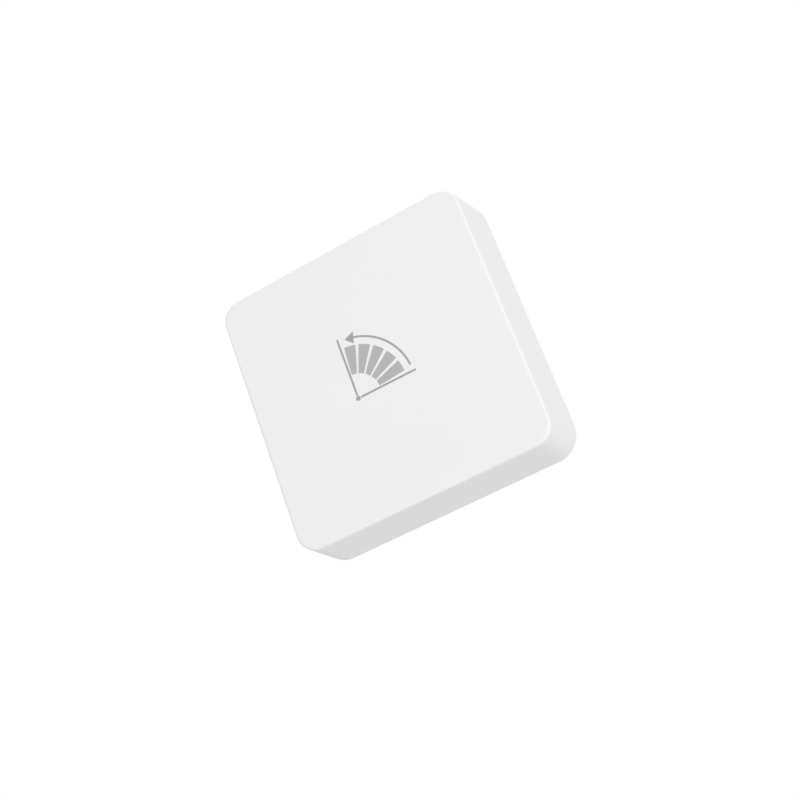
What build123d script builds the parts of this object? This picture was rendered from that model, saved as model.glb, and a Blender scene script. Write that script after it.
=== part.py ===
from build123d import *
import os
from math import atan2, cos, degrees, pi, radians, sin, sqrt, tan

os.makedirs("parts", exist_ok=True)

# A garage door tilt sensor, as it hangs on the inside of a closed door. Lengths are millimetres.
# +Z is up the door, the front faces -Y and +X is to the right as seen from the front. The origin
# is the middle of the foam tape's face on the door. A depth counts from that face into the room,
# so depth d lies at y = -d, and Plane.XZ.offset(d) is the plane at that depth.

# Front shell
wall = 1.6
wall_flare = 1.15  # how far each side wall spreads between the front face and the rim
front_corner_radius = 4.6
front_edge_radius = 0.6
rim_standoff = 0.7  # the shell's rim to the door
side_channel = 3.7  # battery bay to the side wall at the rim: room for snap arms and leads
bay_lower_gap = 1.5  # battery bay to the lower wall at the rim
pry_notch_width = 10.0
pry_notch_depth = 1.0

# Foam tape and rear cover
tape_thickness = 1.1
tape_width = 50.0
tape_corner_radius = 4.0
tape_gap = 0.5  # tape to the screw bosses
cover_thickness = 1.6
cover_clearance = 0.2  # cover's edge to the shell, at the cover's inner face
cover_edge_chamfer = 0.3
door_screw_hole_radius = 1.6
door_screw_sink_radius = 3.0
door_screw_inset = 5.045  # hole to the cover's edge, which puts the two 48 apart
door_boss_radius = 4.5
door_boss_standback = 0.3  # boss face to the door, taken up when screws squeeze the tape
up_arrow_length = 6.0
up_arrow_head_width = 4.6
up_arrow_head_length = 2.8
up_arrow_shaft_width = 1.5
up_arrow_depth = 0.3
up_arrow_offset = 19.0  # to the left of the upper screw hole, seen from the front
ejector_mark_radius = 2.0
ejector_mark_depth = 0.12
ejector_mark_spread = 36.0

# Snap arms of the cover and the shell's catch ledges
snap_arm_width = 6.0
snap_arm_thickness = 1.0
snap_barb_reach = 0.6
snap_barb_wall_gap = 0.15
snap_barb_thickness = 0.4
snap_barb_slope = 1.0
snap_root_length = 3.7  # cover to the barb's catching face
snap_ledge_thickness = 1.0
snap_ledge_ramp = 0.8
snap_ledge_gap = 0.15  # ledge to the arm's flat side
snap_catch_gap = 0.2  # barb to ledge, along the pull
snap_flex_room = 1.0  # room behind an arm when it bends inwards
snap_side_gap = 0.6  # frame notch to an arm's edge
snap_upper_height = 14.0
snap_lower_height = -12.0

# Round cells
cell_radius = 5.25
cell_length = 44.5  # with the raised end
cell_nub_radius = 1.9
cell_nub_height = 0.8
cell_edge_radius = 0.4
cell_dish_radius = 3.9
cell_dish_depth = 0.15
cell_spacing_gap = 0.4  # between the two cells
cell_side_gap = 0.25  # cell to the bay's long walls
cell_floor_gap = 0.3  # cell to the front wall
cell_cover_gap = 0.4  # cell to the rear cover

# Cell contacts
contact_thickness = 0.3
contact_width = 8.0
contact_end_gap = 1.2  # contact plate to the rims of the bay
contact_dimple_height = 0.8
contact_dimple_base_radius = 2.1
contact_dimple_tip_radius = 1.3
contact_tab_width = 2.0
contact_tab_reach = 1.4  # tab beyond the bay's outer face
contact_tab_edge = 0.5  # tab to the plate's front edge
contact_rail_width = 0.8
contact_rail_height = 0.6
contact_rail_gap = 0.1
spring_length = 3.1
spring_wire_radius = 0.25
spring_base_radius = 3.6
spring_tip_radius = 1.9
spring_turns = 3
spring_arcs_per_turn = 4

# Inner frame
frame_thickness = 1.2
frame_cover_gap = 0.2  # frame to the rear cover
frame_edge_gap = 0.7  # frame plate to the shell's wall
frame_corner_radius = 3.2
bay_wall = 1.2
bay_floor_gap = 0.2  # bay walls to the front wall
bay_mouth_chamfer = 0.5
tab_slot_gap = 0.3  # round a contact tab in the bay's end wall
frame_boss_radius = 2.2
frame_boss_gap = 0.3  # lower bosses to the bay
frame_boss_inset = 3.7  # upper bosses to the shell's walls
frame_seat_thickness = 2.4
frame_lower_boss_spread = 40.0
boss_web_thickness = 1.0
boss_web_drop = 1.5  # webs start this far behind the boss's end
polarity_mark_size = 1.4
polarity_mark_line = 0.35
polarity_mark_depth = 0.3
polarity_mark_spread = 28.0
cell_rib_height = 2.0
cell_rib_clearance = 0.25
cell_rib_end_gap = 4.0

# Screws
screw_clearance = 0.02
frame_screw_radius = 0.95
frame_screw_length = 7.0
frame_screw_head_radius = 1.8
frame_screw_head_height = 0.85
screw_seat_clearance = 0.05
screw_hole_spare = 0.5  # hole beyond the screw's tip
screw_recess_width = 0.45
screw_recess_depth = 0.5
board_screw_radius = 0.8
board_screw_length = 3.1
board_screw_head_radius = 1.9
board_screw_head_height = 1.1
board_hole_spare = 0.4

# Circuit board
board_thickness = 1.0
board_standoff = 1.7
board_side_gap = 1.5  # board to the shell's side walls
board_top_gap = 1.1
board_boss_gap = 0.4
board_notch_gap = 0.6  # corner notches to the upper bosses
board_screw_inset = 5.0
board_screw_lift = 3.5
board_post_radius = 2.0
board_pin_radius = 0.8
board_pin_inset = 7.4
board_pin_drop = 2.8
board_pin_clearance = 0.1

# Status light
led_drop = 5.4  # below the board's upper edge
led_width = 2.0
led_height = 1.3
led_base_thickness = 0.4
led_lens_thickness = 0.5
led_lens_radius = 0.55
light_ring_radius = 2.6
light_well_radius = 1.8
light_window_thickness = 0.7
light_ring_gap = 0.2  # ring to the board

# Push switch and its cap
tact_width = 6.0
tact_body_height = 3.5
tact_frame_thickness = 0.3
tact_offset = -4.0  # along X from the board's middle
tact_leg_width = 0.7
tact_leg_spread = 4.5
tact_foot_length = 0.9
plunger_radius = 1.7
plunger_proud = 1.0
plunger_depth = 1.6
plunger_clearance = 0.1
button_travel = 0.3
button_stop_gap = 0.2
button_cap_radius = 2.0
button_cap_recess = 0.4
button_flange_radius = 2.9
button_flange_thickness = 0.6
button_flange_gap = 0.1
button_clearance = 0.2
button_sleeve_wall = 0.8
button_sleeve_length = 0.8
button_dish_radius = 1.3
button_dish_depth = 0.2

# Ball tilt switch
tilt_angle = 15.0  # lean of its upper end towards the front wall
tilt_inset = 10.0  # to the board's left edge
tilt_drop = 1.0  # below the board's middle
tilt_can_radius = 2.0
tilt_can_wall = 0.35
tilt_can_length = 9.6
tilt_can_edge_radius = 0.3
tilt_plug_length = 1.0
tilt_ball_radius = 1.5
tilt_ball_end_gap = 0.1
tilt_ball_spacing = 0.04
tilt_pin_radius = 0.25
tilt_pin_spread = 1.4
tilt_pin_reach = 1.2
tilt_pin_bend = 0.55
tilt_cradle_floor = 0.3
tilt_cradle_width = 5.6
tilt_cradle_shoulder = 0.4  # below the switch's axis
tilt_cradle_clearance = 0.03
tilt_cradle_inset = 0.2

# Radio module
radio_width = 16.0
radio_length = 20.0
radio_board_thickness = 0.8
radio_offset = 9.5
radio_top_gap = 0.9
radio_notch_radius = 0.35
radio_notch_pitch = 1.6
radio_notch_count = 7
radio_can_width = 13.0
radio_can_length = 11.5
radio_can_height = 2.0
radio_can_wall = 0.25
radio_can_corner = 0.8
radio_can_lift = 0.9
antenna_line = 0.6
antenna_thickness = 0.1
antenna_pitch = 1.5
antenna_fingers = 4
antenna_finger_length = 3.6
antenna_edge_gap = 0.9

# Capacitor and small chips
capacitor_radius = 2.0
capacitor_height = 5.4
capacitor_base_size = 4.4
capacitor_base_height = 0.9
capacitor_offset = -10.0
capacitor_groove_height = 1.7
capacitor_groove_depth = 0.15
chip_length = 1.6
chip_width = 0.8
chip_height = 0.55
chip_pitch = 2.6
chip_row_pitch = 2.0
chip_columns = 4
chip_rows = 2
chip_lift = 3.2
chip_offset = -9.0

# Battery leads
lead_radius = 0.5
lead_wall_gap = 0.3
lead_run_share = 0.45  # of the shorter run that an arc may use
red_pad_lift = 2.2
black_pad_lift = 4.6
lead_pad_inset = 1.4

# Depths of the stack, from the door into the room
cover_outer = tape_thickness
cover_inner = cover_outer + cover_thickness
frame_rear = cover_inner + frame_cover_gap
frame_front = frame_rear + frame_thickness
cell_depth = cover_inner + cell_cover_gap + cell_radius
floor_depth = cell_depth + cell_radius + cell_floor_gap
front_depth = floor_depth + wall
body_depth = front_depth - rim_standoff
board_front = floor_depth - board_standoff
board_rear = board_front - board_thickness
bay_front = floor_depth - bay_floor_gap
seat_front = frame_rear + frame_seat_thickness

# Widths, from the cells outwards
bay_half = (cell_length + spring_length + contact_dimple_height) / 2 + contact_thickness
bay_outer_half = bay_half + bay_wall
cavity_half = bay_outer_half + side_channel
rear_half = cavity_half + wall
rear_corner_radius = front_corner_radius + wall_flare
cavity_corner_radius = rear_corner_radius - wall
wall_slope = degrees(atan2(wall_flare, body_depth))


def cavity_half_at(depth):
    """Half the width of the shell's cavity at a depth."""
    return cavity_half - (depth - rim_standoff) * wall_flare / body_depth


floor_half = cavity_half_at(floor_depth)
cover_half = cavity_half_at(cover_inner) - cover_clearance
door_screw_height = cover_half - door_screw_inset
tape_height = 2 * (door_screw_height - door_boss_radius - tape_gap)
frame_half = cavity_half_at(frame_rear) - frame_edge_gap

# Heights of the battery bay and its cells
bay_bottom = bay_lower_gap + bay_wall - cavity_half
lower_cell_height = bay_bottom + cell_side_gap + cell_radius
cell_pitch = 2 * cell_radius + cell_spacing_gap
upper_cell_height = lower_cell_height + cell_pitch
bay_top = upper_cell_height + cell_radius + cell_side_gap
bay_height = bay_top - bay_bottom
bay_middle = (bay_top + bay_bottom) / 2
bay_outer_top = bay_top + bay_wall
cell_start = bay_half - contact_thickness - contact_dimple_height

# Boss and board places, as x and height
lower_boss_height = bay_outer_top + frame_boss_gap + frame_boss_radius
upper_boss_place = floor_half - frame_boss_inset
upper_boss_spots = [(side * upper_boss_place, upper_boss_place) for side in (-1, 1)]
lower_boss_spots = [(side * frame_lower_boss_spread / 2, lower_boss_height) for side in (-1, 1)]
frame_screw_spots = upper_boss_spots + lower_boss_spots
board_bottom = lower_boss_height + frame_boss_radius + board_boss_gap
board_top = floor_half - board_top_gap
board_middle = (board_top + board_bottom) / 2
board_height = board_top - board_bottom
board_half = floor_half - board_side_gap
board_screw_spots = [
    (side * (board_half - board_screw_inset), board_bottom + board_screw_lift) for side in (-1, 1)
]
board_pin_spots = [
    (side * (board_half - board_pin_inset), board_top - board_pin_drop) for side in (-1, 1)
]
led_spot = (0, board_top - led_drop)
tact_spot = (tact_offset, board_middle)
radio_middle = board_top - radio_top_gap - radio_length / 2

# Snap arm outline, seen from above on the right side
barb_depth = cover_inner + snap_root_length
barb_tip_depth = barb_depth + snap_barb_thickness
arm_tip_depth = barb_tip_depth + snap_barb_slope
barb_x = cavity_half_at(arm_tip_depth) - snap_barb_wall_gap
arm_outer_x = barb_x - snap_barb_reach
arm_inner_x = arm_outer_x - snap_arm_thickness
ledge_x = arm_outer_x + snap_ledge_gap
ledge_front_depth = barb_depth - snap_catch_gap
ledge_rear_depth = ledge_front_depth - snap_ledge_thickness
snap_heights = (snap_upper_height, snap_lower_height)

from_base = (Align.CENTER, Align.CENTER, Align.MIN)
chamfer_taper = 45
front_view = Plane.XZ


# Front shell: a shallow rounded tray, open to the door, with its bosses, posts and catches
with BuildPart() as front_shell:
    with BuildSketch(front_view.offset(rim_standoff)):
        RectangleRounded(2 * rear_half, 2 * rear_half, rear_corner_radius)
    extrude(amount=body_depth, taper=wall_slope)
    fillet(front_shell.faces().sort_by(Axis.Y)[0].edges(), front_edge_radius)
    with BuildSketch(front_view.offset(rim_standoff)):
        RectangleRounded(2 * cavity_half, 2 * cavity_half, cavity_corner_radius)
    extrude(amount=floor_depth - rim_standoff, taper=wall_slope, mode=Mode.SUBTRACT)

    # screw bosses for the frame, the upper two webbed to the walls
    with BuildSketch(front_view.offset(seat_front)):
        with Locations(*frame_screw_spots):
            Circle(frame_boss_radius)
    extrude(amount=floor_depth - seat_front)
    web_rear = seat_front + boss_web_drop
    web_reach = floor_half + wall / 2 - upper_boss_place
    for boss_x, boss_z in upper_boss_spots:
        side = 1 if boss_x > 0 else -1
        with BuildSketch(front_view.offset(web_rear)):
            with Locations((boss_x + side * web_reach / 2, boss_z)):
                Rectangle(web_reach, boss_web_thickness)
            with Locations((boss_x, boss_z + web_reach / 2)):
                Rectangle(boss_web_thickness, web_reach)
        extrude(amount=floor_depth - web_rear)
    with BuildSketch(front_view.offset(seat_front)):
        with Locations(*frame_screw_spots):
            Circle(frame_screw_radius + screw_clearance)
    extrude(amount=frame_rear + frame_screw_length + screw_hole_spare - seat_front, mode=Mode.SUBTRACT)

    # posts under the board: two with screw holes, two with a pin that stands in the board
    with BuildSketch(front_view.offset(board_front)):
        with Locations(*board_screw_spots, *board_pin_spots):
            Circle(board_post_radius)
    extrude(amount=board_standoff)
    with BuildSketch(front_view.offset(board_rear + board_pin_clearance)):
        with Locations(*board_pin_spots):
            Circle(board_pin_radius)
    extrude(amount=board_thickness)
    with BuildSketch(front_view.offset(board_front)):
        with Locations(*board_screw_spots):
            Circle(board_screw_radius + screw_clearance)
    extrude(
        amount=board_rear + board_screw_length + board_hole_spare - board_front,
        mode=Mode.SUBTRACT,
    )

    # ring that keeps the status light together, over a thinned window in the front wall
    with BuildSketch(front_view.offset(board_front + light_ring_gap)):
        with Locations(led_spot):
            Circle(light_ring_radius)
    extrude(amount=board_standoff - light_ring_gap)
    with BuildSketch(front_view.offset(board_front + light_ring_gap)):
        with Locations(led_spot):
            Circle(light_well_radius)
    extrude(
        amount=front_depth - light_window_thickness - board_front - light_ring_gap,
        mode=Mode.SUBTRACT,
    )

    # rib in the valley between the two cells
    rib_rear = floor_depth - cell_rib_height
    valley_half = cell_pitch / 2 - sqrt(cell_radius**2 - (rib_rear - cell_depth) ** 2)
    with BuildSketch(front_view.offset(rib_rear)):
        with Locations((0, bay_middle)):
            Rectangle(2 * (bay_half - cell_rib_end_gap), 2 * (valley_half - cell_rib_clearance))
    extrude(amount=cell_rib_height)

    # catch ledges for the cover's four snap arms
    for snap_z in snap_heights:
        for side in (-1, 1):
            with BuildSketch(Plane.XY.offset(snap_z)):
                with BuildLine():
                    Polyline(
                        (side * (rear_half - wall / 2), -ledge_rear_depth + snap_ledge_ramp),
                        (side * ledge_x, -ledge_rear_depth),
                        (side * ledge_x, -ledge_front_depth),
                        (side * (rear_half - wall / 2), -ledge_front_depth),
                        close=True,
                    )
                make_face()
            extrude(amount=snap_arm_width / 2, both=True)

    # notch in the upper rim, for a coin or a thumbnail
    with BuildSketch(front_view.offset(rim_standoff)):
        with Locations((0, rear_half)):
            Rectangle(pry_notch_width, 2 * (wall + cover_clearance))
    extrude(amount=pry_notch_depth, mode=Mode.SUBTRACT)
front_shell.part.label = "front_shell"
export_step(front_shell.part, "parts/front_shell.step")


# Inner frame: the battery bay's walls and the plate that closes the space behind the board
with BuildPart() as inner_frame:
    with BuildSketch(front_view.offset(frame_rear)):
        RectangleRounded(2 * frame_half, 2 * frame_half, frame_corner_radius)
    extrude(amount=frame_thickness)
    with BuildSketch(front_view.offset(frame_rear)):
        with Locations((0, bay_middle)):
            Rectangle(2 * bay_outer_half, bay_height + 2 * bay_wall)
    extrude(amount=bay_front - frame_rear)
    with BuildSketch(front_view.offset(frame_rear)):
        with Locations((0, bay_middle)):
            Rectangle(2 * bay_half, bay_height)
    extrude(amount=bay_front - frame_rear, mode=Mode.SUBTRACT)
    with BuildSketch(front_view.offset(frame_rear)):
        with Locations((0, bay_middle)):
            Rectangle(2 * (bay_half + bay_mouth_chamfer), bay_height + 2 * bay_mouth_chamfer)
    extrude(amount=bay_mouth_chamfer, taper=chamfer_taper, mode=Mode.SUBTRACT)

    # thick seats over the shell's bosses, and countersunk holes for the screws
    with BuildSketch(front_view.offset(frame_rear)):
        with Locations(*frame_screw_spots):
            Circle(frame_boss_radius)
    extrude(amount=frame_seat_thickness)
    with Locations(front_view.offset(frame_rear)):
        with Locations(*frame_screw_spots):
            Cylinder(
                frame_screw_radius + screw_seat_clearance,
                frame_seat_thickness,
                align=from_base,
                mode=Mode.SUBTRACT,
            )
            Cone(
                frame_screw_head_radius + screw_seat_clearance,
                frame_screw_radius + screw_seat_clearance,
                frame_screw_head_height,
                align=from_base,
                mode=Mode.SUBTRACT,
            )

    # guide sleeve of the pairing button
    with BuildSketch(front_view.offset(frame_rear)):
        with Locations(tact_spot):
            Circle(button_cap_radius + button_clearance + button_sleeve_wall)
    extrude(amount=frame_thickness + button_sleeve_length)
    with BuildSketch(front_view.offset(frame_rear)):
        with Locations(tact_spot):
            Circle(button_cap_radius + button_clearance)
    extrude(amount=frame_thickness + button_sleeve_length, mode=Mode.SUBTRACT)

    # side notches that the snap arms stand and bend in
    notch_inner = arm_inner_x - snap_flex_room
    with BuildSketch(front_view.offset(frame_rear)):
        for snap_z in snap_heights:
            for side in (-1, 1):
                with Locations((side * (notch_inner + cavity_half) / 2, snap_z)):
                    Rectangle(cavity_half - notch_inner, snap_arm_width + 2 * snap_side_gap)
    extrude(amount=frame_thickness, mode=Mode.SUBTRACT)

    # rails that hold the contact plates in line, on the bay's end walls
    rail_length = bay_front - frame_rear - contact_end_gap
    rail_offset = contact_width / 2 + contact_rail_gap + contact_rail_width / 2
    rail_x = bay_half - contact_rail_height / 2
    rail_spots = [
        (-rail_x, lower_cell_height + rail_offset),
        (-rail_x, upper_cell_height - rail_offset),
    ]
    with BuildSketch(front_view.offset(frame_rear + contact_end_gap)):
        with Locations(*rail_spots):
            Rectangle(contact_rail_height, contact_rail_width)
    extrude(amount=rail_length)

    # slots in the left end wall for the contacts' solder tabs
    slot_rear = bay_front - contact_end_gap - contact_tab_edge - contact_thickness - tab_slot_gap
    with BuildSketch(front_view.offset(slot_rear)):
        with Locations(
            (-bay_half - bay_wall / 2, lower_cell_height),
            (-bay_half - bay_wall / 2, upper_cell_height),
        ):
            Rectangle(bay_wall, contact_tab_width + 2 * tab_slot_gap)
    extrude(amount=bay_front - slot_rear, mode=Mode.SUBTRACT)

    # plus and minus marks beside each cell's ends, sunk in the plate
    lower_mark_height = (bay_bottom - frame_half) / 2
    upper_mark_height = bay_outer_top + polarity_mark_size
    mark_x = polarity_mark_spread / 2
    with BuildSketch(front_view.offset(frame_rear)):
        with Locations(
            (-mark_x, upper_mark_height),
            (mark_x, upper_mark_height),
            (-mark_x, lower_mark_height),
            (mark_x, lower_mark_height),
        ):
            Rectangle(polarity_mark_size, polarity_mark_line)
        with Locations((-mark_x, upper_mark_height), (mark_x, lower_mark_height)):
            Rectangle(polarity_mark_line, polarity_mark_size)
    extrude(amount=polarity_mark_depth, mode=Mode.SUBTRACT)
inner_frame.part.label = "inner_frame"
export_step(inner_frame.part, "parts/inner_frame.step")


# Rear cover: the flat plate that stays on the door
with BuildPart() as rear_cover:
    with BuildSketch(front_view.offset(cover_outer)):
        RectangleRounded(2 * cover_half, 2 * cover_half, cavity_corner_radius - cover_clearance)
    extrude(amount=cover_thickness)
    chamfer(rear_cover.faces().sort_by(Axis.Y)[-1].edges(), cover_edge_chamfer)
    with BuildSketch(front_view.offset(door_boss_standback)):
        with Locations((0, door_screw_height), (0, -door_screw_height)):
            Circle(door_boss_radius)
    extrude(amount=cover_outer - door_boss_standback)
    with Locations(front_view.offset(cover_inner)):
        with Locations((0, door_screw_height), (0, -door_screw_height)):
            CounterSinkHole(
                radius=door_screw_hole_radius,
                counter_sink_radius=door_screw_sink_radius,
                depth=cover_inner - door_boss_standback,
                counter_sink_angle=90,
            )

    # sunk arrow on the door side, which points up the door
    shaft_half = up_arrow_shaft_width / 2
    head_half = up_arrow_head_width / 2
    neck = up_arrow_length / 2 - up_arrow_head_length
    arrow_middle = (-up_arrow_offset, -cover_outer, door_screw_height)
    with BuildSketch(Plane(origin=arrow_middle, x_dir=(1, 0, 0), z_dir=(0, -1, 0))):
        with BuildLine():
            Polyline(
                (-shaft_half, -up_arrow_length / 2),
                (shaft_half, -up_arrow_length / 2),
                (shaft_half, neck),
                (head_half, neck),
                (0, up_arrow_length / 2),
                (-head_half, neck),
                (-shaft_half, neck),
                close=True,
            )
        make_face()
    extrude(amount=up_arrow_depth, mode=Mode.SUBTRACT)

    # shallow ejector marks on the side that faces the housing
    with BuildSketch(front_view.offset(cover_inner - ejector_mark_depth)):
        with GridLocations(ejector_mark_spread, ejector_mark_spread, 2, 2):
            Circle(ejector_mark_radius)
    extrude(amount=ejector_mark_depth, mode=Mode.SUBTRACT)
rear_cover.part.label = "rear_cover"
export_step(rear_cover.part, "parts/rear_cover.step")


# Snap arms: four barbed tongues that rise from the cover along its left and right edges
with BuildPart() as cover_snap_arms:
    for snap_z in snap_heights:
        with BuildSketch(Plane.XY.offset(snap_z)):
            with BuildLine():
                Polyline(
                    (arm_inner_x, -cover_inner),
                    (arm_outer_x, -cover_inner),
                    (arm_outer_x, -barb_depth),
                    (barb_x, -barb_depth),
                    (barb_x, -barb_tip_depth),
                    (arm_outer_x, -arm_tip_depth),
                    (arm_inner_x, -arm_tip_depth),
                    close=True,
                )
            make_face()
        extrude(amount=snap_arm_width / 2, both=True)
    mirror(about=Plane.YZ)
cover_snap_arms.part.label = "cover_snap_arms"
export_step(cover_snap_arms.part, "parts/cover_snap_arms.step")


# Foam tape between the cover and the door
with BuildPart() as adhesive_pad:
    with BuildSketch(front_view):
        RectangleRounded(tape_width, tape_height, tape_corner_radius)
    extrude(amount=tape_thickness)
adhesive_pad.part.label = "adhesive_pad"
export_step(adhesive_pad.part, "parts/adhesive_pad.step")


def cell_plane(side, height):
    """Plane across a cell at its flat end, facing its raised end on the given side."""
    flat_end = cell_start - cell_length
    return Plane(
        origin=(side * flat_end, -cell_depth, height), x_dir=(0, 0, 1), z_dir=(side, 0, 0)
    )


def cell_outline():
    """Half section of a cell, from its axis outwards: radius across, length up."""
    shoulder = cell_length - cell_nub_height
    edge = cell_edge_radius
    with BuildLine() as outline:
        Polyline(
            (0, cell_dish_depth),
            (cell_dish_radius, cell_dish_depth),
            (cell_dish_radius, 0),
            (cell_radius - edge, 0),
        )
        ThreePointArc(
            (cell_radius - edge, 0),
            (cell_radius - edge + edge * sin(pi / 4), edge - edge * cos(pi / 4)),
            (cell_radius, edge),
        )
        Line((cell_radius, edge), (cell_radius, shoulder - edge))
        ThreePointArc(
            (cell_radius, shoulder - edge),
            (cell_radius - edge + edge * sin(pi / 4), shoulder - edge + edge * cos(pi / 4)),
            (cell_radius - edge, shoulder),
        )
        Polyline(
            (cell_radius - edge, shoulder),
            (cell_nub_radius, shoulder),
            (cell_nub_radius, cell_length),
            (0, cell_length),
            (0, cell_dish_depth),
        )
    return outline.line


def turning_plane(side, height):
    """Plane through a cell's axis: radius along its x, length along its y."""
    flat = cell_plane(side, height)
    return Plane(origin=flat.origin, x_dir=(0, 0, 1), z_dir=(0, side, 0))


cell_section = cell_outline()

# Lower cell, raised end to the right
with BuildPart() as battery_lower:
    with BuildSketch(turning_plane(1, lower_cell_height)):
        with BuildLine():
            add(cell_section)
        make_face()
    revolve(axis=Axis((0, -cell_depth, lower_cell_height), (1, 0, 0)))
battery_lower.part.label = "battery_lower"
export_step(battery_lower.part, "parts/battery_lower.step")

# Upper cell, raised end to the left
with BuildPart() as battery_upper:
    with BuildSketch(turning_plane(-1, upper_cell_height)):
        with BuildLine():
            add(cell_section)
        make_face()
    revolve(axis=Axis((0, -cell_depth, upper_cell_height), (1, 0, 0)))
battery_upper.part.label = "battery_upper"
export_step(battery_upper.part, "parts/battery_upper.step")


plate_rear = frame_rear + contact_end_gap
plate_front = bay_front - contact_end_gap
tab_depth = plate_front - contact_tab_edge - contact_thickness
tab_length = bay_wall + contact_tab_reach + contact_thickness


def end_plane(side, height):
    """Plane on a bay's end wall at a cell's axis, facing the cell."""
    return Plane(
        origin=(side * bay_half, -cell_depth, height), x_dir=(0, 0, 1), z_dir=(-side, 0, 0)
    )


def plate_shift(side):
    """How far a contact plate's middle lies from the cell's axis, along the end plane's y."""
    return ((plate_rear + plate_front) / 2 - cell_depth) * side


# Positive contact of the upper cell: plate, dimple and solder tab at the left end
with BuildPart() as positive_contact:
    with BuildSketch(end_plane(-1, upper_cell_height)):
        with Locations((0, plate_shift(-1))):
            Rectangle(contact_width, plate_front - plate_rear)
    extrude(amount=contact_thickness)
    with Locations(end_plane(-1, upper_cell_height).offset(contact_thickness)):
        Cone(
            contact_dimple_base_radius,
            contact_dimple_tip_radius,
            contact_dimple_height,
            align=from_base,
        )
    with BuildSketch(front_view.offset(tab_depth)):
        with Locations((contact_thickness - bay_half - tab_length / 2, upper_cell_height)):
            Rectangle(tab_length, contact_tab_width)
    extrude(amount=contact_thickness)
positive_contact.part.label = "positive_contact"
export_step(positive_contact.part, "parts/positive_contact.step")

# Negative contact of the lower cell: plate and solder tab at the left end
with BuildPart() as negative_contact:
    with BuildSketch(end_plane(-1, lower_cell_height)):
        with Locations((0, plate_shift(-1))):
            Rectangle(contact_width, plate_front - plate_rear)
    extrude(amount=contact_thickness)
    with BuildSketch(front_view.offset(tab_depth)):
        with Locations((contact_thickness - bay_half - tab_length / 2, lower_cell_height)):
            Rectangle(tab_length, contact_tab_width)
    extrude(amount=contact_thickness)
negative_contact.part.label = "negative_contact"
export_step(negative_contact.part, "parts/negative_contact.step")

# Bridge at the right end: one plate across both cells, dimpled for the lower one
with BuildPart() as bridge_contact:
    with BuildSketch(end_plane(1, bay_middle)):
        with Locations((0, plate_shift(1))):
            Rectangle(contact_width + cell_pitch, plate_front - plate_rear)
    extrude(amount=contact_thickness)
    with Locations(end_plane(1, lower_cell_height).offset(contact_thickness)):
        Cone(
            contact_dimple_base_radius,
            contact_dimple_tip_radius,
            contact_dimple_height,
            align=from_base,
        )
bridge_contact.part.label = "bridge_contact"
export_step(bridge_contact.part, "parts/bridge_contact.step")


def spring_point(plane, turn):
    """Point on the cone that the spring's wire follows, after a number of turns."""
    share = turn / spring_turns
    radius = spring_base_radius + share * (spring_tip_radius - spring_base_radius)
    rise = spring_wire_radius + share * (spring_length - 2 * spring_wire_radius)
    angle = 2 * pi * turn
    return plane.from_local_coords((radius * cos(angle), radius * sin(angle), rise))


def spring_heading(plane, turn):
    """Direction of the spring's wire there."""
    step = 0.001
    return (spring_point(plane, turn + step) - spring_point(plane, turn - step)).normalized()


def biarc_joint(start, start_heading, end, end_heading):
    """Point and direction where two arcs with the given ends and headings meet smoothly."""
    chord = end - start
    along = chord.dot(start_heading + end_heading)
    spread = 2 * (1 - start_heading.dot(end_heading))
    reach = (sqrt(along**2 + spread * chord.dot(chord)) - along) / spread
    first = start + start_heading * reach
    second = end - end_heading * reach
    return (first + second) * 0.5, (second - first).normalized()


def spring_path(plane):
    """Tapered coil made of arcs that join smoothly, four pairs to a turn."""
    steps = spring_turns * spring_arcs_per_turn
    with BuildLine() as path:
        for step in range(steps):
            turn, next_turn = step / spring_arcs_per_turn, (step + 1) / spring_arcs_per_turn
            start, end = spring_point(plane, turn), spring_point(plane, next_turn)
            heading, last = spring_heading(plane, turn), spring_heading(plane, next_turn)
            middle, through = biarc_joint(start, heading, end, last)
            TangentArc(start, middle, tangent=heading)
            TangentArc(middle, end, tangent=through)
    return path.wires()[0]


def spring_gap(plane):
    """Least gap between a turn of the spring and the next one, from points on the wire."""
    per_turn = 24
    gaps = [
        (spring_point(plane, k / per_turn + 1) - spring_point(plane, k / per_turn)).length
        for k in range((spring_turns - 1) * per_turn + 1)
    ]
    return min(gaps) - 2 * spring_wire_radius


negative_seat = end_plane(-1, lower_cell_height).offset(contact_thickness)
bridge_seat = end_plane(1, upper_cell_height).offset(contact_thickness)
print("least gap between spring turns", round(spring_gap(negative_seat), 3))

# Conical spring on the negative contact, under the lower cell's flat end
with BuildPart() as negative_spring:
    coil = spring_path(negative_seat)
    with BuildSketch(Plane(origin=coil @ 0, z_dir=coil % 0)):
        Circle(spring_wire_radius)
    sweep(path=coil)
negative_spring.part.label = "negative_spring"
export_step(negative_spring.part, "parts/negative_spring.step")

# Conical spring on the bridge, under the upper cell's flat end
with BuildPart() as bridge_spring:
    coil = spring_path(bridge_seat)
    with BuildSketch(Plane(origin=coil @ 0, z_dir=coil % 0)):
        Circle(spring_wire_radius)
    sweep(path=coil)
bridge_spring.part.label = "bridge_spring"
export_step(bridge_spring.part, "parts/bridge_spring.step")


# Main circuit board, notched round the upper bosses
with BuildPart() as circuit_board:
    with BuildSketch(front_view.offset(board_rear)):
        with Locations((0, board_middle)):
            Rectangle(2 * board_half, board_height)
        notch = upper_boss_place - frame_boss_radius - board_notch_gap
        for side in (-1, 1):
            with Locations((side * (notch + board_half) / 2, (notch + board_top) / 2)):
                Rectangle(board_half - notch, board_top - notch, mode=Mode.SUBTRACT)
        with Locations(*board_screw_spots):
            Circle(board_screw_radius + board_pin_clearance, mode=Mode.SUBTRACT)
        with Locations(*board_pin_spots):
            Circle(board_pin_radius + board_pin_clearance, mode=Mode.SUBTRACT)
    extrude(amount=board_thickness)
circuit_board.part.label = "circuit_board"
export_step(circuit_board.part, "parts/circuit_board.step")


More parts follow.
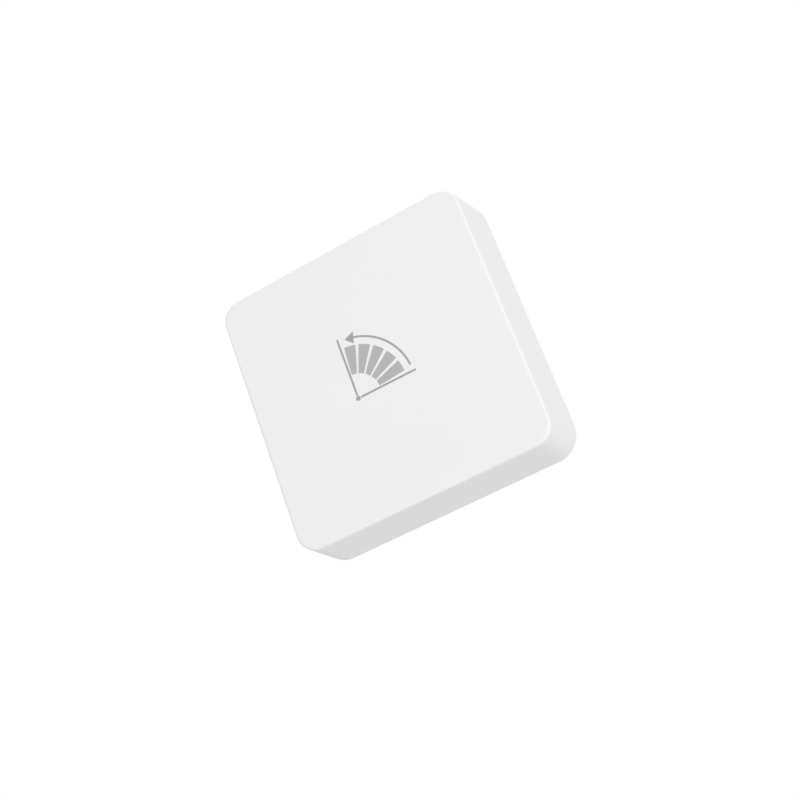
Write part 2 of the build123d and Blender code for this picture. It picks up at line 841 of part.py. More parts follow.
# Radio module: small board with half-round solder notches down both sides
with BuildPart() as radio_module_board:
    with BuildSketch(front_view.offset(board_rear - radio_board_thickness)):
        with Locations((radio_offset, radio_middle)):
            Rectangle(radio_width, radio_length)
            with GridLocations(radio_width, radio_notch_pitch, 2, radio_notch_count):
                Circle(radio_notch_radius, mode=Mode.SUBTRACT)
    extrude(amount=radio_board_thickness)
radio_module_board.part.label = "radio_module_board"
export_step(radio_module_board.part, "parts/radio_module_board.step")

radio_rear = board_rear - radio_board_thickness
radio_bottom = radio_middle - radio_length / 2
can_middle = radio_bottom + radio_can_lift + radio_can_length / 2

# Shield can over the radio's chips
with BuildPart() as radio_shield_can:
    with BuildSketch(front_view.offset(radio_rear - radio_can_height)):
        with Locations((radio_offset, can_middle)):
            RectangleRounded(radio_can_width, radio_can_length, radio_can_corner)
    extrude(amount=radio_can_height)
    with BuildSketch(front_view.offset(radio_rear - radio_can_height + radio_can_wall)):
        with Locations((radio_offset, can_middle)):
            RectangleRounded(
                radio_can_width - 2 * radio_can_wall,
                radio_can_length - 2 * radio_can_wall,
                radio_can_corner - radio_can_wall,
            )
    extrude(amount=radio_can_height - radio_can_wall, mode=Mode.SUBTRACT)
radio_shield_can.part.label = "radio_shield_can"
export_step(radio_shield_can.part, "parts/radio_shield_can.step")

# Antenna trace: a meander on the free end of the radio module
antenna_top = radio_middle + radio_length / 2 - antenna_edge_gap
antenna_left = radio_offset - antenna_pitch * (antenna_fingers - 0.5)
meander = []
for finger in range(2 * antenna_fingers):
    finger_x = antenna_left + finger * antenna_pitch
    rising = finger % 2 == 0
    ends = (antenna_top - antenna_finger_length, antenna_top)
    meander += [(finger_x, height) for height in (ends if rising else reversed(ends))]
with BuildPart() as antenna_trace:
    with BuildSketch(front_view.offset(radio_rear - antenna_thickness)):
        with BuildLine():
            Polyline(*meander)
        trace(line_width=antenna_line)
    extrude(amount=antenna_thickness)
antenna_trace.part.label = "antenna_trace"
export_step(antenna_trace.part, "parts/antenna_trace.step")


# Push switch: moulded body with a well for its plunger
tact_rear = board_rear - tact_body_height
well_depth = plunger_depth + button_travel + button_stop_gap
with BuildPart() as tact_switch_body:
    with BuildSketch(front_view.offset(tact_rear)):
        with Locations(tact_spot):
            Rectangle(tact_width, tact_width)
    extrude(amount=tact_body_height)
    with BuildSketch(front_view.offset(tact_rear)):
        with Locations(tact_spot):
            Circle(plunger_radius + plunger_clearance)
    extrude(amount=well_depth, mode=Mode.SUBTRACT)
tact_switch_body.part.label = "tact_switch_body"
export_step(tact_switch_body.part, "parts/tact_switch_body.step")

# Push switch: pressed metal frame with four legs that stand on the board
tact_side = (tact_width + tact_frame_thickness) / 2
foot_rear = board_rear - tact_frame_thickness
with BuildPart() as tact_switch_frame:
    with BuildSketch(front_view.offset(tact_rear - tact_frame_thickness)):
        with Locations(tact_spot):
            Rectangle(tact_width, tact_width)
            with GridLocations(2 * tact_side, tact_leg_spread, 2, 2):
                Rectangle(tact_frame_thickness, tact_leg_width)
            Circle(plunger_radius + plunger_clearance, mode=Mode.SUBTRACT)
    extrude(amount=tact_frame_thickness)
    with BuildSketch(front_view.offset(tact_rear)):
        with Locations(tact_spot):
            with GridLocations(2 * tact_side, tact_leg_spread, 2, 2):
                Rectangle(tact_frame_thickness, tact_leg_width)
    extrude(amount=tact_body_height)
    foot_middle = tact_side + tact_frame_thickness / 2 + tact_foot_length / 2
    with BuildSketch(front_view.offset(foot_rear)):
        with Locations(tact_spot):
            with GridLocations(2 * foot_middle, tact_leg_spread, 2, 2):
                Rectangle(tact_foot_length, tact_leg_width)
    extrude(amount=tact_frame_thickness)
tact_switch_frame.part.label = "tact_switch_frame"
export_step(tact_switch_frame.part, "parts/tact_switch_frame.step")

# Push switch: plunger, which travels with the pairing button
plunger_rear = tact_rear - tact_frame_thickness - plunger_proud
with BuildPart() as tact_plunger:
    with BuildSketch(front_view.offset(plunger_rear)):
        with Locations(tact_spot):
            Circle(plunger_radius)
    extrude(amount=plunger_proud + tact_frame_thickness + plunger_depth)
tact_plunger.part.label = "tact_plunger"
export_step(tact_plunger.part, "parts/tact_plunger.step")

# Pairing button: cap in the frame's sleeve, with a flange that keeps it in
cap_rear = frame_rear + button_cap_recess
flange_rear = frame_front + button_sleeve_length + button_flange_gap
with BuildPart() as pairing_button:
    with BuildSketch(front_view.offset(cap_rear)):
        with Locations(tact_spot):
            Circle(button_cap_radius)
    extrude(amount=plunger_rear - cap_rear)
    with BuildSketch(front_view.offset(flange_rear)):
        with Locations(tact_spot):
            Circle(button_flange_radius)
    extrude(amount=button_flange_thickness)
    with BuildSketch(front_view.offset(cap_rear)):
        with Locations(tact_spot):
            Circle(button_dish_radius)
    extrude(amount=button_dish_depth, mode=Mode.SUBTRACT)
pairing_button.part.label = "pairing_button"
export_step(pairing_button.part, "parts/pairing_button.step")


# Status light on the board's front side, inside the shell's ring
with BuildPart() as status_led:
    with BuildSketch(front_view.offset(board_front)):
        with Locations(led_spot):
            Rectangle(led_width, led_height)
    extrude(amount=led_base_thickness)
    with BuildSketch(front_view.offset(board_front + led_base_thickness)):
        with Locations(led_spot):
            Circle(led_lens_radius)
    extrude(amount=led_lens_thickness)
status_led.part.label = "status_led"
export_step(status_led.part, "parts/status_led.step")


# Ball tilt switch, its can lying in a wedge so that it tips when the door swings up
lean = radians(tilt_angle)
tilt_along = Vector(0, -sin(lean), cos(lean))
tilt_half = tilt_can_length / 2
tilt_depth = board_rear - tilt_cradle_floor - tilt_can_radius * cos(lean) - tilt_half * sin(lean)
tilt_x = tilt_inset - board_half
tilt_middle = Vector(tilt_x, -tilt_depth, board_middle - tilt_drop)
tilt_foot = tilt_middle - tilt_along * tilt_half


def tilt_plane(distance):
    """Plane across the tilt switch at a distance from its lower end."""
    return Plane(origin=tilt_foot + tilt_along * distance, x_dir=(1, 0, 0), z_dir=tilt_along)


tilt_bore_radius = tilt_can_radius - tilt_can_wall
with BuildPart() as tilt_switch_can:
    with BuildSketch(tilt_plane(0)):
        Circle(tilt_can_radius)
    extrude(amount=tilt_can_length)
    fillet(tilt_switch_can.edges().sort_by(Axis.Z)[-1], tilt_can_edge_radius)
    with BuildSketch(tilt_plane(0)):
        Circle(tilt_bore_radius)
    extrude(amount=tilt_can_length - tilt_can_wall, mode=Mode.SUBTRACT)
tilt_switch_can.part.label = "tilt_switch_can"
export_step(tilt_switch_can.part, "parts/tilt_switch_can.step")

with BuildPart() as tilt_switch_base:
    with BuildSketch(tilt_plane(0)):
        Circle(tilt_bore_radius - screw_clearance)
    extrude(amount=tilt_plug_length)
tilt_switch_base.part.label = "tilt_switch_base"
export_step(tilt_switch_base.part, "parts/tilt_switch_base.step")

# Two balls at the low end of the can, with room to roll to its top
first_ball = tilt_plug_length + tilt_ball_end_gap + tilt_ball_radius
second_ball = first_ball + 2 * tilt_ball_radius + tilt_ball_spacing
ball_travel = tilt_can_length - tilt_can_wall - tilt_ball_end_gap - tilt_ball_radius - second_ball
print("ball travel", round(ball_travel, 3))
with BuildPart() as tilt_balls:
    with Locations(tilt_plane(first_ball), tilt_plane(second_ball)):
        Sphere(tilt_ball_radius)
tilt_balls.part.label = "tilt_balls"
export_step(tilt_balls.part, "parts/tilt_balls.step")


def pin_route(side):
    """Bent wire from the plug's outer face to the board."""
    start = tilt_foot + Vector(side * tilt_pin_spread / 2, 0, 0)
    corner = start - tilt_along * tilt_pin_reach
    return [start, corner, Vector(corner.X, -board_rear, corner.Z)]


with BuildPart() as tilt_switch_pins:
    for side in (-1, 1):
        with BuildLine() as pin_line:
            FilletPolyline(*pin_route(side), radius=tilt_pin_bend)
        with BuildSketch(Plane(origin=pin_line.line @ 0, z_dir=pin_line.line % 0)):
            Circle(tilt_pin_radius)
        sweep(path=pin_line.wires()[0])
tilt_switch_pins.part.label = "tilt_switch_pins"
export_step(tilt_switch_pins.part, "parts/tilt_switch_pins.step")

# Wedge that holds the can on the board
cradle_low = tilt_foot.Z + tilt_cradle_inset
cradle_high = tilt_foot.Z + tilt_can_length * cos(lean) - tilt_cradle_inset


def shoulder_depth(height):
    """Depth of the wedge's sloping shoulders at a height."""
    return tilt_depth + (height - tilt_middle.Z) * tan(lean) + tilt_cradle_shoulder


with BuildPart() as tilt_switch_cradle:
    with BuildSketch(Plane.YZ.offset(tilt_x)):
        with BuildLine():
            Polyline(
                (-board_rear, cradle_low),
                (-board_rear, cradle_high),
                (-shoulder_depth(cradle_high), cradle_high),
                (-shoulder_depth(cradle_low), cradle_low),
                close=True,
            )
        make_face()
    extrude(amount=tilt_cradle_width / 2, both=True)
    with BuildSketch(tilt_plane(-tilt_can_radius)):
        Circle(tilt_can_radius + tilt_cradle_clearance)
    extrude(amount=tilt_can_length + 2 * tilt_can_radius, mode=Mode.SUBTRACT)
tilt_switch_cradle.part.label = "tilt_switch_cradle"
export_step(tilt_switch_cradle.part, "parts/tilt_switch_cradle.step")


# Bulk capacitor: round can on a square base
capacitor_spot = (capacitor_offset, led_spot[1])
with BuildPart() as bulk_capacitor:
    with BuildSketch(front_view.offset(board_rear - capacitor_base_height)):
        with Locations(capacitor_spot):
            Rectangle(capacitor_base_size, capacitor_base_size)
    extrude(amount=capacitor_base_height)
    with BuildSketch(front_view.offset(board_rear - capacitor_height)):
        with Locations(capacitor_spot):
            Circle(capacitor_radius)
    extrude(amount=capacitor_height - capacitor_base_height)
    with BuildSketch(front_view.offset(board_rear - capacitor_groove_height)):
        with Locations(capacitor_spot):
            Circle(capacitor_radius)
            Circle(capacitor_radius - capacitor_groove_depth, mode=Mode.SUBTRACT)
    extrude(amount=2 * capacitor_groove_depth, mode=Mode.SUBTRACT)
bulk_capacitor.part.label = "bulk_capacitor"
export_step(bulk_capacitor.part, "parts/bulk_capacitor.step")

# Small chip resistors and capacitors, in a grid between the switches
with BuildPart() as chip_components:
    with BuildSketch(front_view.offset(board_rear - chip_height)):
        with Locations((chip_offset, board_bottom + chip_lift)):
            with GridLocations(chip_pitch, chip_row_pitch, chip_columns, chip_rows):
                Rectangle(chip_length, chip_width)
    extrude(amount=chip_height)
chip_components.part.label = "chip_components"
export_step(chip_components.part, "parts/chip_components.step")


# Frame screws: countersunk, through the frame's seats into the shell's bosses
with BuildPart() as frame_screws:
    with Locations(front_view.offset(frame_rear)):
        with Locations(*frame_screw_spots):
            Cylinder(frame_screw_radius, frame_screw_length, align=from_base)
            Cone(
                frame_screw_head_radius,
                frame_screw_radius,
                frame_screw_head_height,
                align=from_base,
            )
            Box(
                frame_screw_head_radius,
                screw_recess_width,
                screw_recess_depth,
                align=from_base,
                mode=Mode.SUBTRACT,
            )
            Box(
                screw_recess_width,
                frame_screw_head_radius,
                screw_recess_depth,
                align=from_base,
                mode=Mode.SUBTRACT,
            )
frame_screws.part.label = "frame_screws"
export_step(frame_screws.part, "parts/frame_screws.step")

# Board screws: pan heads on the board's rear side
with BuildPart() as board_screws:
    with Locations(front_view.offset(board_rear)):
        with Locations(*board_screw_spots):
            Cylinder(board_screw_radius, board_screw_length, align=from_base)
    with Locations(front_view.offset(board_rear - board_screw_head_height)):
        with Locations(*board_screw_spots):
            Cylinder(board_screw_head_radius, board_screw_head_height, align=from_base)
            Box(
                board_screw_head_radius,
                screw_recess_width,
                screw_recess_depth,
                align=from_base,
                mode=Mode.SUBTRACT,
            )
            Box(
                screw_recess_width,
                board_screw_head_radius,
                screw_recess_depth,
                align=from_base,
                mode=Mode.SUBTRACT,
            )
board_screws.part.label = "board_screws"
export_step(board_screws.part, "parts/board_screws.step")


# Battery leads, from the left contacts' tabs up the side channel to the board
lead_width = 2 * lead_radius
lead_x = -(bay_outer_half + lead_wall_gap + lead_radius)
lead_start_depth = tab_depth - lead_radius
pad_x = lead_pad_inset - board_half
red_pad_height = board_bottom + red_pad_lift
black_pad_height = board_bottom + black_pad_lift


def lead_spot(x, depth, height, across=0, back=0, up=0):
    """Point of a lead's route: a place, shifted by counted widths of the lead."""
    return Vector(x + across * lead_width, back * lead_width - depth, height + up * lead_width)


# The shifts are chosen by eye so that the leads bend gently and keep clear of each other
red_route = [
    lead_spot(lead_x, lead_start_depth, upper_cell_height - contact_tab_width / 2),
    lead_spot(lead_x, lead_start_depth, upper_cell_height, up=1.6),
    lead_spot(lead_x, board_rear, upper_cell_height, back=1.4, up=5.6),
    lead_spot(lead_x, board_rear, board_bottom, back=2.3, up=-1.4),
    lead_spot(pad_x, board_rear, red_pad_height, back=2.3),
    lead_spot(pad_x, board_rear, red_pad_height),
]
black_route = [
    lead_spot(lead_x, lead_start_depth, lower_cell_height - contact_tab_width / 2),
    lead_spot(lead_x, lead_start_depth, lower_cell_height, up=2.2),
    lead_spot(lead_x, board_rear, lower_cell_height, across=-0.5, back=1.8, up=7.7),
    lead_spot(lead_x, board_rear, upper_cell_height, across=-0.6, back=2.6, up=2.0),
    lead_spot(lead_x, board_rear, upper_cell_height, across=-0.3, back=3.7, up=8.3),
    lead_spot(lead_x, board_rear, board_bottom, across=-0.1, back=3.9, up=1.2),
    lead_spot(pad_x, board_rear, black_pad_height, back=2.5),
    lead_spot(pad_x, board_rear, black_pad_height),
]


def bend_radii(route):
    """Largest arc at each corner that its two runs leave room for."""
    radii = []
    for before, corner, after in zip(route, route[1:], route[2:]):
        turn = (corner - before).get_angle(after - corner)
        shorter = min((corner - before).length, (after - corner).length)
        radii.append(lead_run_share * shorter / tan(radians(turn / 2)))
    print("lead bend radii", [round(radius, 2) for radius in radii])
    return radii


with BuildPart() as lead_red:
    with BuildLine() as red_line:
        FilletPolyline(*red_route, radius=bend_radii(red_route))
    with BuildSketch(Plane(origin=red_line.line @ 0, z_dir=red_line.line % 0)):
        Circle(lead_radius)
    sweep(path=red_line.wires()[0])
lead_red.part.label = "lead_red"
export_step(lead_red.part, "parts/lead_red.step")

with BuildPart() as lead_black:
    with BuildLine() as black_line:
        FilletPolyline(*black_route, radius=bend_radii(black_route))
    with BuildSketch(Plane(origin=black_line.line @ 0, z_dir=black_line.line % 0)):
        Circle(lead_radius)
    sweep(path=black_line.wires()[0])
lead_black.part.label = "lead_black"
export_step(lead_black.part, "parts/lead_black.step")

print("front width", round(2 * (rear_half - wall_flare), 3), "rear width", round(2 * rear_half, 3))
print("depth", round(front_depth, 3), "door screw spacing", round(2 * door_screw_height, 3))
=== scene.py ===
import math
from itertools import product

import bmesh
import bpy
import numpy as np
from mathutils import Matrix, Vector


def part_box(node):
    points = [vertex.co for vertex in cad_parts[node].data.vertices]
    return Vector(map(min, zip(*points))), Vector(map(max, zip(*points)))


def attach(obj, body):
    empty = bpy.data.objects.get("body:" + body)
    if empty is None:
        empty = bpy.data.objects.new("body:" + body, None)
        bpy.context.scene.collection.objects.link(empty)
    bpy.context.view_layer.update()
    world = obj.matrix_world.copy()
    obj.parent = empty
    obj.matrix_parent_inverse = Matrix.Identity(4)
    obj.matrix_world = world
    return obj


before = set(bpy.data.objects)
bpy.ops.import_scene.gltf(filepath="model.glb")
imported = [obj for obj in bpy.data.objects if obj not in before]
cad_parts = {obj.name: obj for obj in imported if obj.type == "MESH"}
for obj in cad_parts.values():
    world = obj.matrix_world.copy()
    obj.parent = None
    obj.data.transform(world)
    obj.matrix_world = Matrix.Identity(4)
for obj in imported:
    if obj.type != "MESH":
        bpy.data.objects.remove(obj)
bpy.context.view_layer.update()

bl_info = {
    "name": "Garage door tilt sensor",
    "version": (1, 0, 0),
    "blender": (4, 5, 0),
    "location": "View3D > Sidebar > Sensor",
    "description": "Finishes, small fittings and stage of a garage door tilt sensor",
    "category": "Object",
}

MM = 0.001

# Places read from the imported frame, in metres. The door lies at y = 0 and the room is towards -y.
FRONT_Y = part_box("front_shell")[0][1]
FRAME_REAR_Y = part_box("inner_frame")[1][1]
BOARD_SIDE_X, BOARD_REAR_Y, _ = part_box("circuit_board")[1]

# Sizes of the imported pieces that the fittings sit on.
CELL_EDGE = 0.4 * MM  # rounding of a cell's ends
CELL_TIP = 0.8 * MM  # height of a cell's raised end
LEAD_R = 0.5 * MM
PIN_R = 0.25 * MM  # tilt switch's pins
SWITCH_CORNER = 2.25 * MM  # push switch's middle to its corners, across and up
CHIP = (1.6 * MM, 0.55 * MM, 0.8 * MM)  # one small chip: across, deep and up

SINK = 0.01 * MM  # how far a hidden edge is let into the surface under it
NO_CUT = 1.0  # further out than any board, so that no cut edge shows

# The cells, each with the side that its raised end is on: 1 is right and -1 is left.
CELLS = {"battery_lower": 1, "battery_upper": -1}

# Sections of the washers and stakes, in millimetres: (height off what they lie on, radius).
WASHER = ((0, 2.0), (0.12, 2.0), (0.15, 2.05), (0.15, 3.35), (0.12, 3.4), (0, 3.4))
STAKE = ((0, 0.45), (0.1, 0.45), (0.17, 0.38), (0.2, 0.22), (0.205, 0.01))

# Mould pins' marks on the inner frame, in millimetres: (across, up).
PIN_MARKS = ((-13.0, 21.0), (12.0, 21.0), (-13.0, 8.0), (12.0, 8.0))


def middle(node):
    """Middle of a CAD node's box at rest."""
    low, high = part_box(node)
    return (np.array(low) + np.array(high)) / 2


class Signal:
    """A shader socket that takes part in arithmetic, one Math node for each step."""

    def __init__(self, nodes, socket):
        self.nodes = nodes
        self.socket = socket

    def math(self, operation, *others):
        """Math node on this signal and the others that it needs."""
        values = dict(enumerate((self, *others)))
        return self.nodes.node("ShaderNodeMath", {"operation": operation}, values)

    def __add__(self, other):
        return self.math("ADD", other)

    def __sub__(self, other):
        return self.math("SUBTRACT", other)

    def __mul__(self, other):
        return self.math("MULTIPLY", other)

    def __rsub__(self, other):
        values = {0: other, 1: self}
        return self.nodes.node("ShaderNodeMath", {"operation": "SUBTRACT"}, values)

    __radd__ = __add__
    __rmul__ = __mul__


class NodeMaker:
    """Adds nodes to one tree, a material's or the world's."""

    def __init__(self, tree):
        self.tree = tree

    def node(self, kind, settings=None, values=None, output=0):
        """Adds a node, with its settings first and then its sockets, and returns one output."""
        made = self.tree.nodes.new(kind)
        for key, value in (settings or {}).items():
            setattr(made, key, value)
        for key, value in (values or {}).items():
            self.feed(made.inputs[key], value)
        return Signal(self, made.outputs[output])

    def feed(self, socket, value):
        """Links a signal to a socket, or sets the socket's own value."""
        if isinstance(value, Signal):
            self.tree.links.new(value.socket, socket)
        else:
            socket.default_value = value

    def background_rays(self):
        """1 for rays that see the white background: the camera's, reflected and refracted ones."""
        camera, glossy, clear = (
            self.node("ShaderNodeLightPath", output=f"Is {kind} Ray")
            for kind in ("Camera", "Glossy", "Transmission")
        )
        return camera.math("MAXIMUM", glossy).math("MAXIMUM", clear)


class Finish(NodeMaker):
    """One procedural material: a Principled shader and the nodes that feed it."""

    def __init__(self, name, **fixed):
        self.material = bpy.data.materials.new(name)
        self.material.use_nodes = True
        super().__init__(self.material.node_tree)
        self.shader = self.tree.nodes["Principled BSDF"]
        for socket, value in fixed.items():
            self.shader.inputs[socket.replace("_", " ")].default_value = value
        self.place = self.node("ShaderNodeTexCoord", output="Object")

    def noise(self, scale, detail=2.0, roughness=0.5, place=None):
        """Noise from 0 to 1, with its features about 1 / scale metres across."""
        values = {"Vector": place or self.place, "Scale": scale, "Detail": detail}
        values["Roughness"] = roughness
        return self.node("ShaderNodeTexNoise", None, values, "Fac")

    def cells(self, scale):
        """Distance from the nearest of scattered points, about 1 / scale metres apart."""
        values = {"Vector": self.place, "Scale": scale}
        return self.node("ShaderNodeTexVoronoi", None, values, "Distance")

    def axis(self, letter):
        """One axis of the place, as a signal in metres."""
        return self.node("ShaderNodeSeparateXYZ", None, {0: self.place}, letter)

    def stretched(self, scale):
        """The place scaled along each axis, for grain that runs one way."""
        values = {"Vector": self.place, "Scale": scale}
        return self.node("ShaderNodeMapping", None, values)

    def ramp(self, signal, low, high, start=0.0, end=1.0):
        """Smooth step of a signal from low to high, giving start to end."""
        settings = {"interpolation_type": "SMOOTHSTEP"}
        values = {0: signal, 1: low, 2: high, 3: start, 4: end}
        return self.node("ShaderNodeMapRange", settings, values)

    def blend(self, share, first, second):
        """Colour between two colours or colour signals."""
        settings = {"data_type": "RGBA"}
        return self.node("ShaderNodeMix", settings, {0: share, 6: first, 7: second}, 2)

    def shaded(self, pattern, colour, least, most):
        """Colour that a pattern takes from one share of its brightness to another."""
        return self.blend(pattern, tone(colour, least), tone(colour, most))

    def colour(self, signal):
        """Sets what the surface's colour follows."""
        self.feed(self.shader.inputs["Base Color"], signal)

    def rough(self, signal):
        """Sets what the surface's roughness follows."""
        self.feed(self.shader.inputs["Roughness"], signal)

    def bump(self, height, depth):
        """Bump whose height signal runs over depth metres."""
        values = {"Distance": depth, "Height": height}
        self.feed(self.shader.inputs["Normal"], self.node("ShaderNodeBump", None, values))


def tone(grey_or_rgb, share=1.0):
    """Four-part colour from a grey or an RGB triple, scaled."""
    rgb = (grey_or_rgb,) * 3 if isinstance(grey_or_rgb, float) else grey_or_rgb
    return (*(part * share for part in rgb), 1.0)


def moulded_plastic(name, colour, roughness=0.5, relief=4e-6, cloud=0.012):
    """Injection-moulded plastic: eroded grain and faint clouding.

    The grain's and the clouds' means add 0.07 to the roughness, which is taken off again.
    """
    finish = Finish(name, IOR=1.47)
    grain = finish.noise(scale=2600.0, detail=3.0, roughness=0.6)
    clouds = finish.noise(scale=45.0)
    finish.colour(finish.shaded(clouds, colour, 1 - cloud, 1 + cloud))
    finish.rough(grain * 0.08 + clouds * 0.06 + (roughness - 0.07))
    finish.bump(grain, relief)
    return finish.material


def worked_metal(name, colour, roughness=0.3, stretch=(1.0, 1.0, 1.0), stain=0.25):
    """Plated or drawn sheet metal: fine lines along the long side, and dull handling marks."""
    finish = Finish(name, Metallic=1.0)
    place = finish.stretched(stretch)
    lines = finish.noise(scale=1800.0, detail=4.0, roughness=0.65, place=place)
    marks = finish.ramp(finish.noise(scale=260.0, detail=3.0), 0.42, 0.7)
    clean = finish.shaded(lines, colour, 0.86, 1.04)
    finish.colour(finish.blend(marks * stain, clean, tone(colour, 0.62)))
    finish.rough(lines * 0.12 + marks * 0.14 + roughness)
    finish.bump(lines, 3e-6)
    return finish.material


def soft_rubber(name, colour):
    """Insulation or rubber: even colour with faint streaks and dust in its roughness."""
    finish = Finish(name, IOR=1.5)
    streaks = finish.noise(scale=900.0, place=finish.stretched((1.0, 1.0, 0.15)))
    finish.colour(finish.shaded(streaks, colour, 0.88, 1.1))
    finish.rough(streaks * 0.15 + 0.52)
    finish.bump(streaks, 6e-6)
    return finish.material


def foam_tape(name, colour):
    """Closed-cell acrylic foam: dark body, small open pores darkened with painted shade, and a
    glossy adhesive skin.
    """
    finish = Finish(name, IOR=1.48)
    skin = finish.ramp(finish.cells(scale=3800.0), 0.08, 0.34)
    body = finish.shaded(finish.noise(scale=320.0, detail=3.0), colour, 0.82, 1.18)
    # The pores take 0.6 of the colour as painted shade inside them; the skin between them keeps the
    # body's colour.
    finish.colour(finish.blend(skin, tone(colour, 0.6), body))
    finish.rough(skin * -0.25 + 0.72)
    finish.bump(skin, 2e-5)
    return finish.material


def circuit_mask(name, mask, cut_x):
    """Solder mask over glass cloth: weave in the relief, and tan core past the cut edges.

    The weave is the product of two sines, one across and one up. The edges lie at cut_x on
    both sides of the middle.
    """
    finish = Finish(name, IOR=1.55, Coat_Weight=0.3, Coat_Roughness=0.18)
    across, up = finish.axis("X"), finish.axis("Z")
    weave, core = 0.6 * MM, (0.52, 0.45, 0.26)
    warp, weft = ((way * (math.tau / weave)).math("SINE") for way in (across, up))
    cloth = (warp * weft) * 0.5 + 0.5
    covered = finish.shaded(finish.noise(scale=160.0), mask, 0.85, 1.2)
    edge = finish.ramp(across.math("ABSOLUTE"), cut_x - 0.12 * MM, cut_x - 0.04 * MM)
    finish.colour(finish.blend(edge, covered, tone(core)))
    finish.rough(edge * 0.3 + cloth * 0.05 + 0.32)
    finish.bump(cloth, 4e-6)
    return finish.material


def printed_ink(name, colour, depth=1.0):
    """Printed ink: an even tone with a slightly uneven film."""
    finish = Finish(name, IOR=1.45)
    film = finish.noise(scale=3200.0)
    finish.colour(finish.shaded(film, colour, 0.97 * depth, 1.03 * depth))
    finish.rough(film * 0.1 + 0.5)
    finish.bump(film, 1e-6)
    return finish.material


def masked_copper(name, colour):
    """Copper track under solder mask: a lighter green with the mask's soft gloss."""
    finish = Finish(name, IOR=1.55, Coat_Weight=0.3, Coat_Roughness=0.18)
    shade = finish.noise(scale=420.0)
    finish.colour(finish.shaded(shade, colour, 0.9, 1.12))
    finish.rough(shade * 0.08 + 0.3)
    finish.bump(shade, 3e-6)
    return finish.material


def shrink_film(name, colour):
    """Folded shrink film: its printed colour, with fine radial puckers."""
    finish = Finish(name, IOR=1.5, Coat_Weight=0.4, Coat_Roughness=0.12)
    place = finish.stretched((0.3, 1.0, 1.0))
    pucker = finish.noise(scale=1500.0, detail=3.0, roughness=0.6, place=place)
    finish.colour(finish.shaded(pucker, colour, 0.9, 1.06))
    finish.rough(pucker * 0.12 + 0.24)
    finish.bump(pucker, 2e-5)
    return finish.material


def solder(name, colour):
    """Reflowed solder: bright, slightly orange-peeled metal."""
    finish = Finish(name, Metallic=1.0)
    peel = finish.noise(scale=2400.0)
    finish.colour(finish.shaded(peel, colour, 0.9, 1.05))
    finish.rough(peel * 0.15 + 0.2)
    finish.bump(peel, 8e-6)
    return finish.material


def sleeved_cell(name, sleeve, band, plus_side, low_x, high_x):
    """Printed cell sleeve: pale body, a coloured band by the raised end, and bare metal ends.

    Every mark is a smooth step of the distance from the flat end, or a product of two steps.
    """
    finish = Finish(name, IOR=1.5, Coat_Weight=0.4, Coat_Roughness=0.12)
    length = high_x - low_x
    reach = (finish.axis("X") - (low_x if plus_side > 0 else high_x)) * plus_side

    def past(start, edge):
        """0 up to start, and 1 from an edge's width after it."""
        return finish.ramp(reach, start, start + edge)

    print_edge, metal_edge = length * 0.002, 0.1 * MM
    banded = past(length * 0.74, print_edge)
    stripe = past(length * 0.7, print_edge) * (1 - past(length * 0.715, print_edge))
    shade = finish.noise(scale=220.0)
    pale = finish.shaded(shade, sleeve, 0.95, 1.03)
    printed = finish.blend((banded + stripe).math("MINIMUM", 1.0), pale, tone(band))
    raised_end = past(length - 1.15 * MM, metal_edge)
    flat_end = 1 - past(0.3 * MM, metal_edge)
    bare = (raised_end + flat_end).math("MINIMUM", 1.0)
    finish.colour(finish.blend(bare, printed, tone((0.66, 0.65, 0.63))))
    finish.feed(finish.shader.inputs["Metallic"], bare)
    finish.rough(bare * 0.02 + shade * 0.08 + 0.28)
    finish.bump(shade, 5e-6)
    return finish.material


def clear_resin(name, colour):
    """Milky light-emitting diode resin with a faint flow pattern."""
    finish = Finish(name, IOR=1.52, Subsurface_Weight=0.4, Subsurface_Scale=0.6 * MM)
    flow = finish.noise(scale=1500.0)
    finish.colour(finish.shaded(flow, colour, 0.92, 1.05))
    finish.rough(flow * 0.1 + 0.12)
    return finish.material


class Shape:
    """Closed surfaces gathered into one mesh, each worked out as a grid of points."""

    def __init__(self):
        self.points = []
        self.faces = []
        self.count = 0

    def add(self, rings, closed=False):
        """Rings of points, rings[i, j], joined along i and closed round j.

        The ends are capped, or where closed, the last ring joins the first, as round a hoop.
        """
        rings = np.asarray(rings, dtype=float)
        rows, columns = rings.shape[:2]
        index = self.count + np.arange(rows * columns).reshape(rows, columns)
        after = np.roll(index, -1, axis=0) if closed else index[1:]
        before = index if closed else index[:-1]
        sides = (before, np.roll(before, -1, axis=1), np.roll(after, -1, axis=1), after)
        self.faces += np.stack(sides, axis=-1).reshape(-1, 4).tolist()
        if not closed:
            self.faces += [index[0][::-1].tolist(), index[-1].tolist()]
        self.points.append(rings.reshape(-1, 3))
        self.count += rows * columns

    def build(self, name, material, body, slot, smooth=False):
        """Makes the object, turns its faces outwards and lets it ride on its body."""
        mesh = bpy.data.meshes.new(name)
        mesh.from_pydata(np.concatenate(self.points).tolist(), [], self.faces)
        skin = bmesh.new()
        skin.from_mesh(mesh)
        bmesh.ops.recalc_face_normals(skin, faces=skin.faces)
        skin.to_mesh(mesh)
        skin.free()
        if smooth:
            sharpest = math.radians(40)
            mesh.polygons.foreach_set("use_smooth", np.ones(len(mesh.polygons), dtype=bool))
            mesh.set_sharp_from_angle(angle=sharpest)
        mesh.materials.append(material)
        piece = bpy.data.objects.new(name, mesh)
        bpy.context.scene.collection.objects.link(piece)
        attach(piece, body)


def slab(low_rail, high_rail, rear_y, front_y):
    """Flat slab between two rails of (x, z) points: a rectangle's corners carried along them."""
    corners = ((low_rail, rear_y), (high_rail, rear_y), (high_rail, front_y), (low_rail, front_y))
    sides = [
        np.column_stack([rail[:, 0], np.full(len(rail), y), rail[:, 1]]) for rail, y in corners
    ]
    return np.stack(sides, axis=1)


